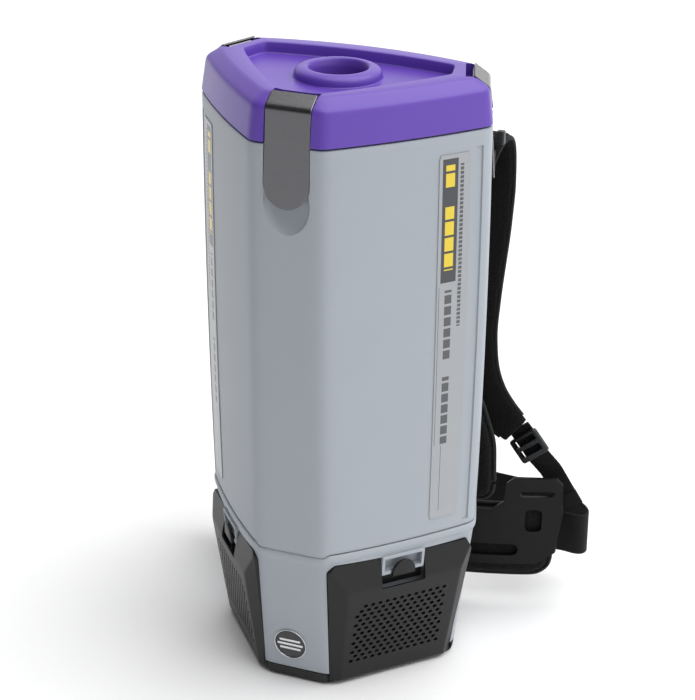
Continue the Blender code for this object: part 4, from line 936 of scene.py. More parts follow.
def make_lid(material):
    """Lid: leaning side, rounded bend and shoulder, recessed top with a domed hose ring; notched for three latches."""
    floor = LID_TOP - RECESS
    side = np.array([(0.5572, 0.0012), (0.5575, 0.0004), (0.5581, 0.0)])
    up = soften(np.array([(0.5581, 0.0), (LID_BEND, 0.0040), (LID_TOP, 0.0180), (LID_TOP, 0.0220)]), 0.0030)
    keep = np.unique(
        np.concatenate(
            [np.linspace(0, len(up) - 1, 14).astype(int), np.arange(int(len(up) * 0.42), int(len(up) * 0.98), 6)]
        )
    )
    rows = np.concatenate([side, up[keep][1:]])
    rows = rows[rows[:, 1] < 0.0189]
    outer = lift(half_grid(lid_plan(rows[:, 1])), rows[:, 0])
    rim = recess_plan(np.array([-0.0012, -0.0006, 0.0, 0.0005, 0.0010, 0.0014, 0.0024]))
    rim_z = np.array(
        [LID_TOP, LID_TOP - 0.0001, LID_TOP - 0.0004, LID_TOP - 0.0012, floor + 0.004, floor + 0.0008, floor]
    )
    last = outer[-1, :, :2]
    angle = np.unwrap(np.arctan2(last[:, 0], -last[:, 1]))
    inner = []
    for outline, z in zip(rim, rim_z):
        around = np.unwrap(np.arctan2(outline[: SAMPLES // 2 + 1, 0], -outline[: SAMPLES // 2 + 1, 1]))
        inner.append(
            np.column_stack(
                [np.interp(angle, around, outline[: SAMPLES // 2 + 1, k]) for k in (0, 1)]
                + [np.full(len(angle), z)]
            )
        )
    inner = np.stack(inner)
    foot = inner[-1]
    ring_r, rise = np.array(HOSE_RING).T
    ring_z = np.append(floor + rise, LID_SEAM)
    ring_r = np.append(ring_r, HOSE_RING[-1][0])
    turn = np.stack([np.sin(angle), -np.cos(angle)], axis=-1)
    dome = lift(ring_r[:, None, None] * turn[None], ring_z)
    mixing = np.linspace(0, 1, 9)[1:-1, None, None]
    between = foot[None] * (1 - mixing) + dome[:1] * mixing
    under_r = np.array([(0.0290, LID_SEAM), (0.0290, 0.5800)])
    under = lift(under_r[:, :1, None] * turn[None], under_r[:, 1])
    below = lift(
        half_grid(
            lid_plan(np.array([0.0400, 0.0160, 0.0140, 0.0060, 0.0060]))
        ), [0.5810, 0.5810, 0.5698, 0.5698, 0.5572]
    )
    points = whole(np.concatenate([outer, inner, between, dome, under, below]))
    lid = form("lid_moulding", [skin(points, wrap_rows=True, wrap_columns=True)])
    half = LATCH_HALF + FIT
    for facet, sign in ((FRONT, 1), (SIDE, 1), (SIDE, -1)):
        line = LINES[facet.kind]
        place = sided(lambda a, b, h, facet=facet: on_plate(facet, a, b, h), sign)
        level = sided(lambda a, b, h, facet=facet: facet.world(*np.broadcast_arrays(a, b, h)), sign)
        combine(lid, form("slot", [block((-half, -0.002, -0.0024), (half, 0.2, 0.03), place)]))
        combine(
            lid,
            form("well", [block((-half, line.pin[0] - 0.0088, line.pin[1] - 0.0068), (half, 0.02, 0.62), level)])
        )
        ends = np.array([-0.0265, 0.0265])
        pin = facet.world(ends, np.full(2, line.pin[0]), np.full(2, line.pin[1])) * np.array([sign, 1.0, 1.0])
        combine(lid, form("pin_seat", [tube(pin, 0.0018)]), angle=34)
    return dress(lid, material, "lid", "lid")


def make_latch(facet, sign, name, material, pin_material):
    """Bent plate: a rounded section swept down from the hinge over the bend to the half-round tip, and its knuckle."""
    line = LINES[facet.kind]
    flip = np.array([sign, 1.0, 1.0])
    slope = (line.head - line.bend) / np.linalg.norm(line.head - line.bend)
    path = soften(np.array([line.head + slope * 0.0006, line.bend, line.tip]), 0.0022, 0.0001)
    run = lengths(path[None], 1)[0]
    at = np.concatenate(
        [
            np.linspace(0, 0.030, 50), np.linspace(0.032, run[-1] - LATCH_HALF, 18)[0:],
            run[-1] - LATCH_HALF + LATCH_HALF * np.sin(np.linspace(0, math.pi / 2, 30))[1:]
        ]
    )
    line_at = np.stack([np.interp(at, run, path[:, k]) for k in (0, 1)], axis=-1)
    way = np.gradient(line_at, axis=0)
    way /= np.linalg.norm(way, axis=1, keepdims=True) + 1e-12
    way[-3:] = way[-4]
    face = np.stack([-way[:, 1], way[:, 0]], axis=-1)
    left = np.clip(at - (run[-1] - LATCH_HALF), 0, LATCH_HALF)
    wide = np.sqrt(np.maximum(LATCH_HALF ** 2 - left ** 2, 1e-9))
    wide[0] *= 0.985
    t = LATCH_STEEL
    e = 0.0004
    section = [(-1, e, -t), (-1, 0, -t + e), (-1, 0, -e), (-1, e * 0.3, -e * 0.3), (-1, e, 0)]
    across = np.linspace(-0.96, 0.96, 13)
    cross = [(s, c, h) for s, c, h in section] + [(x, 0.0, 0.0) for x in across] + [
        (-s, -c, h) for s, c, h in section[::-1]
    ] + [(x, 0.0, -t) for x in across[::-1]]
    cross = np.array(cross)
    a = cross[None, :, 0] * wide[:, None] + np.where(
        np.abs(cross[None, :, 0]) == 1, cross[None, :, 1], 0
    ) * np.minimum(1, wide[:, None] / 0.003)
    off = cross[None, :, 2] + 0 * a
    out = line_at[:, :1] + face[:, :1] * off
    z = line_at[:, 1:] + face[:, 1:] * off
    points = facet.world(a, out, z) * flip
    made = form(name, [rings(points)], angle=50)
    ends = np.linspace(-0.015, 0.015, 8)
    spine = facet.world(ends, np.full(8, line.pin[0]), np.full(8, line.pin[1])) * flip
    combine(made, form("knuckle", [tube(spine, 0.0034, 32)]), "UNION", 50)
    ends = np.linspace(-0.0261, 0.0261, 8)
    pin = facet.world(ends, np.full(8, line.pin[0]), np.full(8, line.pin[1])) * flip
    dress(form("hinge_pin_" + name, [tube(pin, 0.0015, 24)]), pin_material, "lid", "latch_pin_" + name.split("_")[1])
    return dress(made, material, "latch_" + name.split("_")[1] + "_plate", "latch_" + name.split("_")[1])


# ---------------------------------------------------------------- printed pieces

def label_finish(name, colour):
    """Printed plate: dark bars, ruled columns and a striped block set out in the plate's own (u, v)."""
    graph = Graph(name, coat_weight=0.3, coat_roughness=0.25)
    u, v = graph.across()
    ink = (0.03, 0.03, 0.035, 1.0)
    paper = graph.mix(graph.noise(0.02), rgb(colour, 0.96), rgb(colour, 1.04))

    def bar(u0, u1, v0, v1):
        return u.inside(u0, u1, 0.00015) * v.inside(v0, v1, 0.00015)

    def lines(u0, u1, v0, v1, pitch, share, broken):
        """Rows of marks along v; broken sets how unevenly they are interrupted, so that they read as lines of print."""
        row = ((v / pitch).fn("FRACT")).inside(0.5 - share / 2, 0.5 + share / 2, 0.05)
        seed = graph.node("CombineXYZ", {}, {0: u * 900, 1: (v / pitch).fn("FLOOR") * 7.3})
        gaps = graph.node("TexNoise", {}, {"Vector": seed, "Scale": 1.0, "Detail": 1.0}) > broken
        return bar(u0, u1, v0, v1) * row * gaps

    block_ = bar(0.0035, 0.0200, 0.0040, 0.1240)
    bars = bar(0.0070, 0.0165, 0.0100, 0.0330) + bar(0.0070, 0.0165, 0.0500, 0.1120)
    gaps_ = (v / 0.0155).fn("FRACT").inside(0.16, 1.2, 0.01)
    marks = bar(0.0085, 0.0160, 0.1320, 0.2900) * (v / 0.0112).fn("FRACT").inside(0.22, 1.2, 0.01)
    marks = marks * ((v - 0.2120).fn("ABSOLUTE") > 0.0080)
    print_ = marks + lines(0.0225, 0.0262, 0.010, 0.170, 0.0042, 0.66, 0.30)
    rule = bar(0.0020, 0.0024, 0.128, 0.290) + bar(0.0095, 0.0099, 0.292, 0.362)
    base = graph.mix((print_ + rule).clip() * 0.85, paper, ink)
    base = graph.mix(block_, base, (0.045, 0.047, 0.055, 1.0))
    base = graph.mix((block_ * gaps_ * bars).clip(), base, (0.80, 0.60, 0.03, 1.0))
    return graph.finish(base_color=base, roughness=0.34 + graph.noise(0.004) * 0.1)


def make_label(sign, side, material):
    """Long thin plate on the side, laid over the bowed wall: rows down it, columns across, edges turned in."""
    v, u = np.linspace(0, 1, 90)[:, None], np.linspace(0, 1, 28)[None, :]
    z0, z1 = LID_SEAM - 0.0190, BASE_TOP + 0.0165
    corner = 0.0016
    z = z0 + (z1 - z0) * v + 0 * u
    rows = z[:, 0]
    f, n, _ = plan_corners(*measures(rows), np.zeros(len(rows)))
    cut_in = corner * (
        1 - np.sqrt(np.clip(1 - np.clip(1 - np.minimum(v, 1 - v) * (z0 - z1) / corner, 0, 1) ** 2, 0, 1))
    )
    wide = np.linalg.norm(n - f, axis=-1)[:, None]
    low, high = 0.667 + cut_in / wide, 0.860 - cut_in / wide
    t = low + (high - low) * u
    d = (n - f)[:, None]
    square = np.stack([d[..., 1], -d[..., 0]], axis=-1) / np.linalg.norm(d, axis=-1, keepdims=True)
    spot = f[:, None] + d * t[..., None] + square * (SIDE_BOW * 4 * t * (1 - t))[..., None]

    def sheet(out):
        return np.concatenate([spot + square * out, z[..., None]], axis=-1) * np.array([sign, 1.0, 1.0])

    front, back = sheet(0.0008), sheet(0.0002)
    uv = np.stack(
        [np.broadcast_to((t - 0.667) * wide, z.shape), np.broadcast_to(z0 - z, z.shape)], axis=-1
    ).reshape(-1, 2)
    strip = np.stack([loop_of(front), loop_of(back)])
    flat = np.zeros((strip.shape[0] * strip.shape[1], 2))
    made = form("side_plate_" + side, [skin(front), skin(back), skin(strip, wrap_columns=True)], [uv, uv, flat])
    return dress(made, material, "canister", "side_label_" + side)


def make_badge(materials):
    """Domed black disc in a bright ring, with three short bright bars standing on it."""
    z = 0.0410
    lean = (LEVELS[1, 1] - LEVELS[0, 1]) / BASE_TOP
    out = np.array([0.0, -1.0, -lean])
    out /= np.linalg.norm(out)
    up = np.cross(np.array([1.0, 0.0, 0.0]), out)
    up *= np.sign(up[2])
    middle = np.array([-0.0050, -float(measures(z)[0]), z])

    def turned_at(profile, count=96):
        profile = np.asarray(profile, float)
        t = np.linspace(0, 2 * math.pi, count, endpoint=False)
        spot = middle + profile[:, 1:, None] * out + profile[:, :1, None] * (
            np.cos(t)[:, None] * np.array([1.0, 0, 0]) + np.sin(t)[:, None] * up
        )
        return spot

    disc = turned_at(
        [(0.0001, 0.0013), (0.006, 0.00127), (0.011, 0.0012), (0.0150, 0.0009), (0.0157, 0.0002), (0.0001, 0.0002)]
    )
    dress(form("badge_disc", [rings(disc)]), materials["badge_black"], "canister", "badge")
    hoop = turned_at(
        [
            (0.0158, 0.0002), (0.0158, 0.0012), (0.0160, 0.0015), (0.0163, 0.0016), (0.0166, 0.0015),
            (0.0168, 0.0012), (0.0168, 0.0002)
        ]
    )
    made = form("badge_ring", [skin(hoop, wrap_rows=True, wrap_columns=True)])
    dress(made, materials["bright"], "canister")
    bars = []

    def place(a, b, h):
        across = np.asarray(a)[..., None] * np.array([1.0, 0, 0])
        return middle + across + np.asarray(b)[..., None] * up + np.broadcast_to(h, np.shape(a))[..., None] * out

    for length, shift in ((0.0110, 0.0046), (0.0135, 0.0), (0.0110, -0.0046)):
        line = eased(
            [
                (-length, shift - 0.0013), (length, shift - 0.0013), (length, shift + 0.0013),
                (-length, shift + 0.0013)
            ],
            0.0006, 60
        )
        bars.append(slab(line, place, 0.0003, 0.00155, 0.0003, 2))
    dress(form("badge_bars", bars), materials["bright"], "canister")


# ---------------------------------------------------------------- harness

def resample(path, count, ease=0.0):
    path = soften(np.asarray(path, float), ease, 0.0005) if ease else np.asarray(path, float)
    return along_path(path, np.linspace(0, 1, count))


def ribbon(path, sides, wide, thick, edge=0.35):
    """Tape along a path: a section with rounded edges swept with its width along sides. Gives (part, map)."""
    way = np.gradient(path, axis=0)
    way /= np.linalg.norm(way, axis=1, keepdims=True)
    sides = np.broadcast_to(np.asarray(sides, float), path.shape)
    sides = sides - way * (sides * way).sum(axis=1, keepdims=True)
    sides /= np.linalg.norm(sides, axis=1, keepdims=True)
    out = np.cross(way, sides)
    wide = np.broadcast_to(np.asarray(wide, float), (len(path),))
    turn = np.linspace(0, math.pi, 7)
    rim = np.stack([np.sin(turn) * edge * thick, np.cos(turn) * thick / 2], axis=-1)
    flat = np.linspace(-1, 1, 9)[1:-1]
    a = [(1, r, h) for r, h in rim] + [(-x, 0, -thick / 2) for x in flat]
    a = np.array(a + [(-1, -r, -h) for r, h in rim] + [(x, 0, thick / 2) for x in flat])
    across = a[None, :, 0] * (wide[:, None] - edge * thick) + a[None, :, 1]
    points = path[:, None] + across[..., None] * sides[:, None] + a[None, :, 2, None] * out[:, None]
    run = lengths(path[None], 1)[0]
    uv = np.stack([across, np.broadcast_to(run[:, None], across.shape)], axis=-1).reshape(-1, 2)
    return rings(points), uv


def tape(name, path, sides, wide, thick, material, body, *nodes, count=80, ease=0.004):
    part, uv = ribbon(resample(path, count, ease), sides, wide, thick)
    return dress(form(name, [part], [uv], 50), material, body, *nodes)


def stuff(made, pinned, pressure=4.0, most=0.007, voxel=0.0032, stiff=12.0):
    """Fills a pad: an even remesh, then a short cloth run under inner pressure, held where pinned is 1, and its
    rise capped."""
    scene = bpy.context.scene
    change = made.modifiers.new("even", "REMESH")
    change.mode, change.voxel_size, change.use_smooth_shade = "VOXEL", voxel, True
    graph = bpy.context.evaluated_depsgraph_get()
    made.data = bpy.data.meshes.new_from_object(made.evaluated_get(graph))
    made.modifiers.clear()
    count = len(made.data.vertices)
    rest = np.empty(count * 3, np.float32)
    made.data.vertices.foreach_get("co", rest)
    rest = rest.reshape(-1, 3)
    group = made.vertex_groups.new(name="held")
    weight = np.clip(pinned(rest.astype(float)), 0, 1)
    for level in np.unique(np.round(weight, 1)):
        group.add(np.flatnonzero(np.round(weight, 1) == level).tolist(), float(level), "REPLACE")
    cloth = made.modifiers.new("cloth", "CLOTH")
    settings = cloth.settings
    settings.quality, settings.mass = 6, 0.3
    settings.tension_stiffness = settings.compression_stiffness = settings.shear_stiffness = stiff
    settings.bending_stiffness = 0.4
    settings.use_pressure, settings.uniform_pressure_force = True, pressure
    settings.effector_weights.gravity = 0.0
    settings.vertex_group_mass, settings.pin_stiffness = "held", 8.0
    cloth.collision_settings.use_collision = False
    cloth.point_cache.frame_start, cloth.point_cache.frame_end = 1, STUFF_FRAMES
    for at in range(1, STUFF_FRAMES + 1):
        scene.frame_set(at)
    graph = bpy.context.evaluated_depsgraph_get()
    final = bpy.data.meshes.new_from_object(made.evaluated_get(graph))
    moved = np.empty(count * 3, np.float32)
    final.vertices.foreach_get("co", moved)
    shift = moved.reshape(-1, 3) - rest
    far = np.linalg.norm(shift, axis=1, keepdims=True)
    shift *= np.minimum(1.0, most / np.maximum(far, 1e-9))
    scene.frame_set(1)
    made.modifiers.clear()
    made.vertex_groups.clear()
    made.data.vertices.foreach_set("co", (rest + shift).ravel())
    made.data.update()
    finer = made.modifiers.new("finer", "SUBSURF")
    finer.levels = finer.render_levels = 1
    graph = bpy.context.evaluated_depsgraph_get()
    made.data = bpy.data.meshes.new_from_object(made.evaluated_get(graph))
    made.modifiers.clear()
    made.data.shade_smooth()
    return made


def pad_outline(half, ease, count=200):
    half = np.asarray(half, float)
    return eased(np.concatenate([half, half[::-1] * np.array([-1.0, 1.0])]), ease, count)


def upright(a, b, h):
    return np.stack([a, np.broadcast_to(h, np.shape(a)), b], axis=-1)


def fan_cap(outline, place, high, low, ease, rows=14, long=False):
    """Closed pad over a flat outline: rows shrink towards its middle, so that its faces hold an even grid. A long
    pad's rows shrink towards its level middle line instead of towards a point."""
    t = np.linspace(0, math.pi / 2, 5)
    edge = [(ease * (1 - math.cos(u)), ease * (1 - math.sin(u))) for u in t]
    top = [place(*inset(outline, i).T, high - h) for i, h in edge]
    foot = [place(*inset(outline, i).T, low + h) for i, h in edge]
    core = inset(outline, ease)
    middle = np.array([0.0, outline[:, 1].mean()]) if long else outline.mean(axis=0)
    shrink = [(0.9 + 0.1 * s, s) if long else (s, s) for s in np.linspace(1, 0.05 if long else 0.03, rows)[1:]]
    inside = [middle + (core - middle) * np.array(by) for by in shrink]
    over = [place(*flat.T, high) for flat in inside]
    under = [place(*flat.T, low) for flat in inside]
    return rings(np.stack(under[::-1] + foot[::-1] + top + over))


STRAP_PATH = [
    (0.084, 0.1235, 0.470), (0.086, 0.1245, 0.492), (0.088, 0.131, 0.506), (0.089, 0.143, 0.5105),
    (0.090, 0.155, 0.503), (0.0895, 0.1615, 0.485), (0.0895, 0.1640, 0.450), (0.087, 0.1650, 0.400),
    (0.082, 0.1655, 0.345), (0.079, 0.1655, 0.295), (0.083, 0.1660, 0.252), (0.096, 0.1670, 0.222),
    (0.117, 0.1680, 0.2015), (0.1345, 0.1685, 0.1875),
]
STRAP_WIDE = [0.026, 0.030, 0.033, 0.034, 0.034, 0.034, 0.034, 0.033, 0.032, 0.031, 0.030, 0.027, 0.022, 0.019]
LOCK = np.array([0.1490, 0.1690, 0.1730])
LOCK_WAY = np.array([0.6198, 0.0, -0.7847])
LOCK_SIDE = np.array([0.7847, 0.0, 0.6198])
BELT_PATH = [
    (0.160, 0.1830), (0.176, 0.1905), (0.190, 0.1895), (0.200, 0.1865), (0.2075, 0.1900), (0.2085, 0.2000), (0.201, 0.2130),
    (0.181, 0.2300), (0.150, 0.2430), (0.115, 0.2500), (0.075, 0.2530),
]
HIP_Y, HIP_THICK, HIP_CURVE = 0.1215, 0.0042, 1.30
BELT_Z = 0.0725
TAIL_END = np.array([0.1930, 0.1835, 0.1080])
TAIL_START = LOCK + LOCK_WAY * 0.0345 + np.array([0, 0.010, 0])


def strap_frame(count=110):
    """Shoulder strap's smoothed line, its width direction and half width at even steps."""
    path = np.asarray(STRAP_PATH)
    run = lengths(path[None], 1)[0]
    line = resample(path, count, 0.010)
    at = np.linspace(0, 1, count)
    wide = np.interp(at, run / run[-1], STRAP_WIDE)
    way = np.gradient(line, axis=0)
    flat = np.stack([-way[:, 2], np.zeros(count), way[:, 0]], axis=-1)
    flat /= np.linalg.norm(flat, axis=1, keepdims=True) + 1e-9
    flat *= np.sign(flat[:, :1] + 1e-9)
    turn = step(at, 0.55, 0.72)[:, None]
    sides = (1 - turn) * np.array([1.0, 0.0, 0.0]) + turn * flat
    return line, sides / np.linalg.norm(sides, axis=1, keepdims=True), wide


def make_shoulder(sign, side, materials):
    """Padded strap, its cord piping along both edges, the stitched web down its middle, ladder lock and tail web."""
    flip = np.array([sign, 1.0, 1.0])
    line, sides, wide = strap_frame()
    (points, quads, caps), uv = ribbon(line, sides, wide - 0.0012, 0.0090, 0.8)
    pad = form("strap_pad_" + side, [(points * flip, quads, caps)], [uv], 60)
    ends = line[[0, -1]] * flip

    def held(p):
        near = np.min(np.linalg.norm(p[:, None] - ends[None], axis=-1), axis=1)
        run = np.argmin(np.linalg.norm(p[:, None] - (line * flip)[None, ::2], axis=-1), axis=1) * 2
        across = np.abs(((p - (line * flip)[run]) * (sides * flip)[run]).sum(axis=1))
        seam = np.clip((across - (wide[run] - 0.0055)) / 0.002, 0, 1)
        return np.maximum(np.clip(1 - (near - 0.02) / 0.01, 0, 1), seam)

    stuff(pad, held, most=0.004)
    dress(pad, materials["mesh"], "canister", "shoulder_strap_" + side)
    for name, edge in (("outer", 1), ("inner", -1)):
        rim = (line + sides * (edge * (wide - 0.0020))[:, None]) * flip
        piping = form(f"strap_piping_{name}_{side}", [tube(rim[2:-2], 0.0022, 12)])
        dress(piping, materials["binding"], "canister")
    out = np.cross(np.gradient(line, axis=0), sides)
    out /= np.linalg.norm(out, axis=1, keepdims=True)
    out *= np.sign(out[60, 1])
    web, uv = ribbon((line + out * 0.0056)[30:-1] * flip, (sides * flip)[30:-1], 0.0125, 0.0016)
    made = form("strap_web_" + side, [web], [uv], 50)
    dress(made, materials["web"], "canister")
    spot = lambda a, b, h: (
        LOCK + np.asarray(a)[..., None] * LOCK_WAY + np.asarray(b)[..., None] * LOCK_SIDE
        + np.broadcast_to(h, np.shape(a))[..., None] * np.array([0, 1.0, 0])
    ) * flip
    frame_line = eased([(-0.0140, -0.0165), (0.0140, -0.0165), (0.0140, 0.0165), (-0.0140, 0.0165)], 0.0022, 160)
    lock = form("ladder_buckle_" + side, [slab(frame_line, spot, -0.0030, 0.0030, 0.0012)])
    for low_a, high_a in ((-0.0105, -0.0035), (0.0010, 0.0085)):
        hole = eased([(low_a, -0.0130), (high_a, -0.0130), (high_a, 0.0130), (low_a, 0.0130)], 0.0008, 80)
        combine(lock, form("bar_gap", [prism(hole, spot, -0.02, 0.02)]))
    dress(lock, materials["glossy"], "canister", "ladder_lock_" + side)
    start = LOCK - LOCK_WAY * 0.022 + np.array([0, 0.0035, 0])
    fold = [
        start, LOCK - LOCK_WAY * 0.013 + np.array([0, 0.0045, 0]),
        LOCK - LOCK_WAY * 0.002 + np.array([0, 0.0048, 0]), LOCK + LOCK_WAY * 0.012 + np.array([0, 0.0042, 0])
    ]
    path = np.array(fold + [TAIL_START, TAIL_END])
    tape(
        "tail_web_" + side, path * flip, LOCK_SIDE * flip, 0.0125, 0.0018, materials["web"], "canister",
        "lower_webbing_" + side, ease=0.003
    )
    way = TAIL_END - TAIL_START
    way /= np.linalg.norm(way)
    tab_path = np.array([TAIL_END - way * t for t in np.linspace(0.014, -0.0015, 12)])
    part, uv = ribbon(tab_path * flip, LOCK_SIDE * flip, 0.0129, 0.0034, 0.45)
    fold = form("tail_fold_" + side, [part], [uv], 50)
    dress(fold, materials["web"], "canister")


def make_harness(materials):
    """Everything the wearer touches that is cloth: back pad, hip pad, belt, chest strap and grab loop."""
    back = pad_outline(
        [
            (0.118, 0.124), (0.126, 0.134), (0.124, 0.190), (0.108, 0.235), (0.068, 0.285), (0.058, 0.340),
            (0.058, 0.440), (0.048, 0.456)
        ],
        0.007
    )
    y0 = 0.1216
    pad = form("back_cushion", [fan_cap(inset(back, 0.0018), upright, y0 + 0.0135, y0 + 0.0012, 0.0045)])

    def held_back(p):
        near = np.min(np.linalg.norm(p[:, None, ::2] - back[None, ::3], axis=-1), axis=1)
        quilt = np.minimum.reduce([np.abs(p[:, 2] - 0.205), np.abs(p[:, 2] - 0.292), np.abs(p[:, 2] - 0.375)])
        return np.maximum(np.clip(1 - (near - 0.0075) / 0.003, 0, 1), np.clip(1 - (quilt - 0.0015) / 0.003, 0, 1))

    stuff(pad, held_back, most=0.0045)
    dress(pad, materials["mesh"], "canister", "back_pad")
    rim = upright(back[:, 0], back[:, 1], y0 + 0.0075)
    loop = np.vstack([rim, rim[:2]])
    binding = form("back_cushion_binding", [tube(loop, 0.0023, 10)])
    dress(binding, materials["binding"], "canister")
    hip = pad_outline([(0.165, 0.030), (0.176, 0.040), (0.178, 0.098), (0.168, 0.110)], 0.006, 260)
    hip_place = lambda a, b, h: np.stack(
        [a, h + HIP_Y + HIP_THICK + 0.0006 + 0.005 * np.maximum(0, 1 - (a / 0.085) ** 2) + HIP_CURVE * a ** 2, b],
        axis=-1
    )
    pad = form("hip_cushion", [fan_cap(inset(hip, 0.0014), hip_place, 0.0112, 0.0010, 0.0040, 9, long=True)])

    def held_hip(p):
        near = np.min(np.linalg.norm(p[:, None, ::2] - hip[None, ::3], axis=-1), axis=1)
        quilt = np.minimum(np.abs(np.abs(p[:, 0]) - 0.060), np.abs(np.abs(p[:, 0]) - 0.118))
        return np.maximum(np.clip(1 - (near - 0.0070) / 0.003, 0, 1), np.clip(1 - (quilt - 0.0015) / 0.003, 0, 1))

    stuff(pad, held_hip, most=0.004)
    dress(pad, materials["mesh"], "canister", "hip_pad")
    rim = hip_place(hip[:, 0], hip[:, 1], 0.0062)
    binding = form("hip_cushion_binding", [tube(np.vstack([rim, rim[:2]]), 0.0022, 10)])
    dress(binding, materials["binding"], "canister")
    for sign, side, end in ((1, "right", 0.0176), (-1, "left", 0.032)):
        path = [(sign * x, y, BELT_Z) for x, y in BELT_PATH] + [(sign * (end + 0.0004), 0.2540, BELT_Z)]
        part, uv = ribbon(resample(path, 150, 0.006), (0, 0, 1.0), 0.0225, 0.0019)
        belt = form("belt_web_" + side, [part], [uv], 50)
        if side == "left":
            dress(belt, materials["web"], "canister", "belt_webbing_left")
        else:
            dress(belt, materials["web"], "waist_plug_end", "belt_webbing_right")
        y = 0.1735
        path = [
            (sign * x, yy, 0.405)
            for x, yy in ((0.0110 if sign > 0 else 0.0190, y), (0.040, y), (0.066, y - 0.0002))
        ]
        body = "sternum_plug_end" if sign > 0 else "canister"
        tape(
            "chest_web_" + side, path, (0, 0, 1.0), 0.0095, 0.0015, materials["web"], body,
            "sternum_webbing_" + side, count=40, ease=0.002
        )
    path = [
        (-0.034, 0.1225, 0.470), (-0.034, 0.1227, 0.500), (-0.030, 0.1230, 0.522), (-0.018, 0.1235, 0.536),
        (0.0, 0.1237, 0.540), (0.018, 0.1235, 0.536), (0.030, 0.1230, 0.522), (0.034, 0.1227, 0.500),
        (0.034, 0.1225, 0.470)
    ]
    part, uv = ribbon(resample(path, 90, 0.008), (0, 1.0, 0), 0.0038, 0.0050, 0.5)
    dress(form("carry_loop", [part], [uv], 50), materials["web"], "canister", "grab_loop")


def make_filters(materials):
    """Soft filters inside: pleated cloth liner, paper bag and foam dome, each a closed skin a little inside its
    CAD solid."""
    low, top = BASE_TOP + 0.020, LID_SEAM - 0.0046
    a = 0.016
    outer = np.array(
        [(low, a + 0.017), (low + 0.002, a + 0.009), (low + 0.006, a + 0.003), (low + 0.012, a + 0.0010)]
        + [(z, a + 0.0006) for z in np.linspace(low + 0.03, top - 0.02, 24)]
        + [(top - 0.004, a + 0.0004), (top, a + 0.0006)]
    )
    inner = np.array(
        [(top, a + 0.0022)] + [(z, a + 0.0028) for z in np.linspace(top - 0.02, low + 0.03, 24)]
        + [(low + 0.010, a + 0.0042), (low + 0.003, a + 0.018)]
    )
    rows = np.concatenate([outer, inner])
    drawn = canister_plan(rows[:, 0], rows[:, 1])
    dress(form("cloth_liner", [rings(grid_rows(drawn, rows[:, 0]))]), materials["liner"], "canister", "cloth_filter")
    low, top = BASE_TOP + 0.062, LID_SEAM - 0.0085
    a = 0.031
    outer = np.array(
        [(low, a + 0.017), (low + 0.002, a + 0.008), (low + 0.008, a + 0.0012)]
        + [
            (z, a + 0.0006 + 0.0012 * (0.5 + 0.5 * math.sin(z * 260)))
            for z in np.linspace(low + 0.02, top - 0.016, 60)
        ]
        + [(top - 0.008, a + 0.006), (top - 0.001, a + 0.015)]
    )
    outer_rows = lift(half_grid(canister_plan(outer[:, 0], outer[:, 1])), outer[:, 0])
    last = outer_rows[-1, :, :2]
    turn = last / np.linalg.norm(last, axis=1, keepdims=True)
    mouth = [np.column_stack([turn * 0.0267, np.full(len(turn), z)]) for z in (top - 0.0002, top - 0.0020)]
    inner = np.array(
        [(top - 0.003, a + 0.017)] + [(z, a + 0.0034) for z in np.linspace(top - 0.02, low + 0.012, 30)]
        + [(low + 0.003, a + 0.019)]
    )
    inner_rows = lift(half_grid(canister_plan(inner[:, 0], inner[:, 1])), inner[:, 0])
    points = whole(np.concatenate([outer_rows, np.stack(mouth), inner_rows]))
    dress(form("paper_bag", [rings(points)]), materials["paper"], "canister", "filter_bag")
    deck = BASE_TOP - 0.0236 + 0.0004 + 0.005 + 0.0004
    t = np.linspace(0, math.pi / 2, 20)[1:]
    profile = [(0.0436, deck + 0.0003), (0.0438, deck + 0.003)] + [
        (0.0436 * math.cos(u), deck + 0.004 + 0.0258 * math.sin(u)) for u in t[:-1]
    ] + [(0.0004, deck + 0.0298)]
    flat, quads = turned([(0.0004, deck + 0.0003)] + profile, count=96)
    last = len(flat) - 96
    dress(
        form("foam_dome", [(flat, quads, [np.arange(96)[::-1], np.arange(96) + last])]), materials["foam"],
        "canister", "inlet_filter"
    )


# ---------------------------------------------------------------- finishes

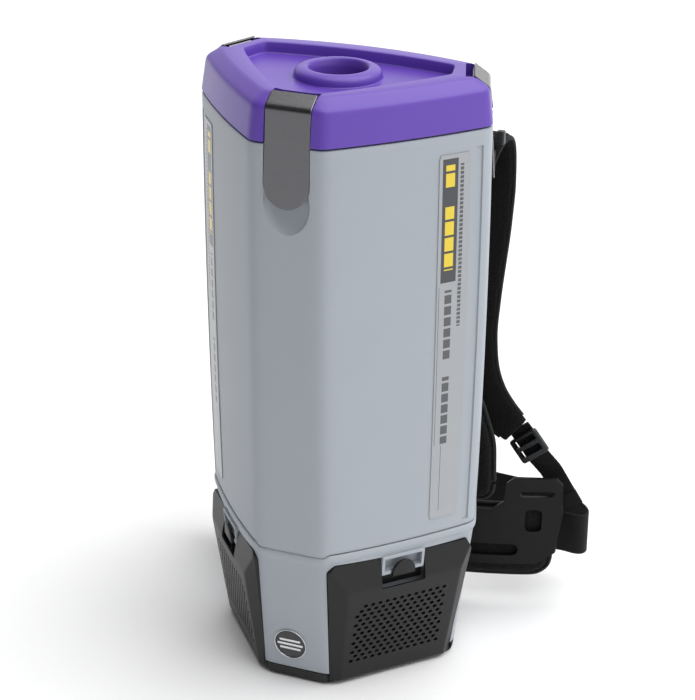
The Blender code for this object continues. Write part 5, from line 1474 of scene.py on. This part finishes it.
def make_materials(props):
    grey, purple = props.shell_colour, props.lid_colour
    made = {
        "shell": moulded("shell_grey", grey, props.shell_gloss, coat=0.04, shine=0.35),
        "lid": moulded("lid_purple", purple, 0.36, grain=0.0005, depth=0.00001, coat=0.12, shine=0.4),
        "cover": moulded("cover_black", (0.008, 0.008, 0.009), 0.42, shine=0.35),
        "black": moulded("harness_plastic", (0.003, 0.003, 0.0033), 0.46, wear=0.01, shine=0.22),
        "glossy": moulded("buckle_plastic", (0.006, 0.006, 0.0065), 0.30, coat=0.1),
        "rubber": moulded("bumper_rubber", (0.012, 0.012, 0.012), 0.62, depth=0.00002),
        "plate": steel("latch_steel", (0.19, 0.19, 0.20), 0.25),
        "pin": steel("pin_steel", (0.55, 0.55, 0.56), 0.28),
        "bright": steel("bright_trim", (0.72, 0.73, 0.75), 0.22),
        "badge_black": moulded("badge_face", (0.012, 0.012, 0.013), 0.25, coat=0.5),
        "label": label_finish("label_print", (0.36, 0.375, 0.395)),
        "mesh": air_mesh("spacer_mesh", (0.0065, 0.0065, 0.007)),
        "binding": plain_cloth("edge_binding", (0.0075, 0.0075, 0.008), 0.0009, 0.00025, 0.6),
        "web": webbing("nylon_web", (0.006, 0.006, 0.0065)),
        "liner": plain_cloth("liner_cloth", (0.62, 0.58, 0.48), 0.0012, 0.0003),
        "paper": plain_cloth("bag_paper", (0.58, 0.42, 0.25), 0.0025, 0.00012),
        "foam": foam("open_foam", (0.05, 0.05, 0.055)),
        "card": plain_cloth("collar_card", (0.50, 0.38, 0.24), 0.0030, 0.0001),
        # Painted shade: the pleated filters behind the cover slots are coloured near black so the slots read as the
        # shade inside them
        "pleats": plain_cloth("pleated_filter_painted_dark", (0.035, 0.035, 0.036), 0.0016, 0.00015),
        "gasket": moulded("soft_rubber", (0.018, 0.018, 0.019), 0.7, depth=0.00002),
        "motor": moulded("motor_can", (0.20, 0.21, 0.22), 0.4),
        "rotor": steel("rotor_metal", (0.60, 0.47, 0.32), 0.35),
        "rocker": moulded("rocker_red", (0.24, 0.015, 0.015), 0.3, coat=0.4),
    }
    return made


CARRIED = {
    "card": ("bag_collar",),
    # Painted shade: these filters take the near-black pleat colour that stands for the shade behind the slots
    "pleats": ("exhaust_filter_left", "exhaust_filter_right"),
    "gasket": ("lid_gasket", "motor_gasket", "motor_mount"),
    "motor": ("motor_case",),
    "rotor": ("motor_rotor",),
    "black": ("motor_deck", "backplate", "hip_plate", "switch_box"),
    "rocker": ("rocker_switch",),
    "rubber": ("power_gland",),
    "glossy": (
        "strap_keeper_left", "strap_keeper_right", "waist_socket", "waist_plug", "sternum_socket", "sternum_plug",
    ),
    "pin": (
        "hip_bolt_left", "hip_bolt_right", "plate_screw_lower_left", "plate_screw_lower_right",
        "plate_screw_upper_left", "plate_screw_upper_right",
    ),
}


def finish_carried(materials):
    """Gives every CAD node that stays shown its finish."""
    for finish, names in CARRIED.items():
        for name in names:
            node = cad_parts[name]
            if not node.material_slots:
                node.data.materials.append(materials[finish])
            for place in node.material_slots:
                place.material = materials[finish]


# ---------------------------------------------------------------- stage

# Camera: lens, aim, distance, and its turn round, rise and roll in degrees
LENS, AIM, DISTANCE = 118.14, (0.0138, 0.0, 0.3204), 2.2023
TURN_ROUND, RISE, ROLL = 21.77, 22.57, 0.97


def make_stage(props):
    """Pale floor with painted shade darkening it out in front, soft studio light from the right and above, and the
    camera low to the front right.
    """
    scene = bpy.context.scene
    world = bpy.data.worlds.new("studio")
    scene.world = world
    world.use_nodes = True
    tree = world.node_tree
    back = tree.nodes["Background"]
    back.inputs["Color"].default_value = (1.0, 1.0, 1.0, 1.0)
    sky = Graph.__new__(Graph)
    sky.tree = tree
    way = sky.node("TexCoord")
    side = sky.node("VectorMath", {"operation": "DOT_PRODUCT"}, {0: way, 1: (0.90, -0.10, 0.42)}, out=1)
    rear = sky.node("VectorMath", {"operation": "DOT_PRODUCT"}, {0: way, 1: (-0.25, 0.93, 0.28)}, out=1)
    strength = props.ambient
    for way_in in (side, rear):
        strength = strength + way_in.fn("MAXIMUM", 0.0) ** 2 * props.side_light
    sky.link(strength, back.inputs["Strength"])

    floor = bpy.data.objects.new("floor", bpy.data.meshes.new("floor"))
    floor.data.from_pydata(
        [(-40, -40, -0.0005), (40, -40, -0.0005), (40, 40, -0.0005), (-40, 40, -0.0005)], [], [(0, 1, 2, 3)]
    )
    graph = Graph("pale_floor_shaded_ahead", roughness=0.9)
    place = graph.node("TexCoord", out="Object")
    ahead = graph.node("VectorMath", {"operation": "DOT_PRODUCT"}, {0: place, 1: (-0.45, -0.89, 0.0)}, out=1)
    pale = graph.mix(graph.noise(0.5), (0.90, 0.90, 0.905, 1.0), (0.93, 0.93, 0.93, 1.0))
    # Painted shade: the floor's colour darkens from 0.4 m out towards the front (towards -Y, a little -X), down to 0.55
    # at 1.6 m, so less light bounces onto the front faces
    graph.link(
        graph.mix(((ahead - 0.40) / 1.2).clip(), pale, (0.55, 0.55, 0.56, 1.0)), graph.shader.inputs["Base Color"]
    )
    graph.shader.inputs["Specular IOR Level"].default_value = 0.1
    floor.data.materials.append(graph.material)
    scene.collection.objects.link(floor)
    light = bpy.data.lights.new("overhead", "SUN")
    light.energy, light.angle = props.overhead, math.radians(75)
    lamp = bpy.data.objects.new("overhead", light)
    scene.collection.objects.link(lamp)
    lamp.rotation_euler = Vector((-0.30, -0.12, -1.0)).to_track_quat("-Z", "Y").to_euler()

    camera = bpy.data.objects.new("camera", bpy.data.cameras.new("camera"))
    scene.collection.objects.link(camera)
    scene.camera = camera
    camera.data.sensor_width, camera.data.lens = 36.0, LENS
    aim = Vector(AIM)
    turn, rise = math.radians(TURN_ROUND), math.radians(RISE)
    away = Vector((math.sin(turn) * math.cos(rise), -math.cos(turn) * math.cos(rise), math.sin(rise)))
    camera.location = aim + away * DISTANCE
    quat = (-away).to_track_quat("-Z", "Y")
    camera.rotation_euler = (quat.to_matrix().to_4x4() @ Matrix.Rotation(math.radians(ROLL), 4, "Z")).to_euler()
    camera.data.clip_start, camera.data.clip_end = 0.05, 200
    scene.view_settings.view_transform = "Standard"


# ---------------------------------------------------------------- add-on

class VacuumSettings(bpy.types.PropertyGroup):
    """What the buttons below build with."""

    shell_colour: bpy.props.FloatVectorProperty(
        name="Shell", description="Colour of the body and base", subtype="COLOR", size=3, min=0, max=1,
        default=(0.378, 0.411, 0.452)
    )
    lid_colour: bpy.props.FloatVectorProperty(
        name="Lid", description="Colour of the lid", subtype="COLOR", size=3, min=0, max=1,
        default=(0.122, 0.055, 0.41)
    )
    ambient: bpy.props.FloatProperty(
        name="Ambient light", description="Even light from all round", min=0, max=4, default=0.08
    )
    side_light: bpy.props.FloatProperty(
        name="Side light", description="Soft light from the right", min=0, max=4, default=1.0
    )
    overhead: bpy.props.FloatProperty(
        name="Overhead light", description="Soft light from above", min=0, max=10, default=2.7
    )
    shell_gloss: bpy.props.FloatProperty(
        name="Shell roughness", description="Roughness of the moulded shell", subtype="FACTOR", min=0, max=1,
        default=0.46
    )


class Step(bpy.types.Operator):
    """Shared by the buttons: runs one group's function and reports when it is done."""

    bl_options = {"REGISTER", "UNDO"}

    def materials(self, context):
        if not FINISHES:
            FINISHES.update(make_materials(context.scene.vacuum))
        return FINISHES


FINISHES = {}


class VACUUM_OT_shell(Step):
    """Builds the body, the base and its bumper"""

    bl_idname = "vacuum.shell"
    bl_label = "Body and base"

    def execute(self, context):
        m = self.materials(context)
        make_body(m["shell"])
        make_base(m["shell"], m["rubber"])
        return {"FINISHED"}


class VACUUM_OT_lid(Step):
    """Builds the lid with its recess and hose ring"""

    bl_idname = "vacuum.lid"
    bl_label = "Lid"

    def execute(self, context):
        make_lid(self.materials(context)["lid"])
        return {"FINISHED"}


class VACUUM_OT_latches(Step):
    """Builds the three latches and their hinge pins"""

    bl_idname = "vacuum.latches"
    bl_label = "Latches"

    def execute(self, context):
        m = self.materials(context)
        for facet, sign, name in (
            (FRONT, 1, "latch_front_steel"), (SIDE, 1, "latch_right_steel"), (SIDE, -1, "latch_left_steel")
        ):
            make_latch(facet, sign, name, m["plate"], m["pin"])
        return {"FINISHED"}


class VACUUM_OT_covers(Step):
    """Builds both exhaust covers and their release tabs"""

    bl_idname = "vacuum.covers"
    bl_label = "Exhaust covers"

    def execute(self, context):
        m = self.materials(context)
        for sign, side in SIDES_BOTH:
            make_cover(sign, side, m["cover"])
        return {"FINISHED"}


class VACUUM_OT_labels(Step):
    """Builds the side plates and the front badge"""

    bl_idname = "vacuum.labels"
    bl_label = "Plates and badge"

    def execute(self, context):
        m = self.materials(context)
        for sign, side in SIDES_BOTH:
            make_label(sign, side, m["label"])
        make_badge(m)
        return {"FINISHED"}


class VACUUM_OT_shoulders(Step):
    """Builds both shoulder straps with their buckles and tails"""

    bl_idname = "vacuum.shoulders"
    bl_label = "Shoulder straps"

    def execute(self, context):
        m = self.materials(context)
        for sign, side in SIDES_BOTH:
            make_shoulder(sign, side, m)
        return {"FINISHED"}


class VACUUM_OT_harness(Step):
    """Builds the pads, belt, chest strap and grab loop"""

    bl_idname = "vacuum.harness"
    bl_label = "Pads and webbing"

    def execute(self, context):
        make_harness(self.materials(context))
        return {"FINISHED"}


class VACUUM_OT_inside(Step):
    """Builds the soft filters and finishes the parts that keep their CAD shape"""

    bl_idname = "vacuum.inside"
    bl_label = "Filters and carried parts"

    def execute(self, context):
        m = self.materials(context)
        make_filters(m)
        finish_carried(m)
        return {"FINISHED"}


class VACUUM_OT_stage(Step):
    """Sets the floor, the light and the camera"""

    bl_idname = "vacuum.stage"
    bl_label = "Stage"

    def execute(self, context):
        make_stage(context.scene.vacuum)
        return {"FINISHED"}


class VACUUM_PT_panel(bpy.types.Panel):
    """Sidebar panel with the settings and one button a group"""

    bl_label = "Backpack vacuum"
    bl_space_type = "VIEW_3D"
    bl_region_type = "UI"
    bl_category = "Vacuum"

    def draw(self, context):
        for name in VacuumSettings.__annotations__:
            self.layout.prop(context.scene.vacuum, name)
        for step in STEPS:
            self.layout.operator(step.bl_idname)


STEPS = (
    VACUUM_OT_shell, VACUUM_OT_lid, VACUUM_OT_latches, VACUUM_OT_covers, VACUUM_OT_labels, VACUUM_OT_shoulders,
    VACUUM_OT_harness, VACUUM_OT_inside, VACUUM_OT_stage
)
CLASSES = (VacuumSettings, *STEPS, VACUUM_PT_panel)


def register():
    for cls in CLASSES:
        bpy.utils.register_class(cls)
    bpy.types.Scene.vacuum = bpy.props.PointerProperty(type=VacuumSettings)


def unregister():
    del bpy.types.Scene.vacuum
    for cls in reversed(CLASSES):
        bpy.utils.unregister_class(cls)


def main():
    register()
    for step in STEPS:
        group, name = step.bl_idname.split(".")
        getattr(getattr(bpy.ops, group), name)()


if __name__ == "__main__":
    main()
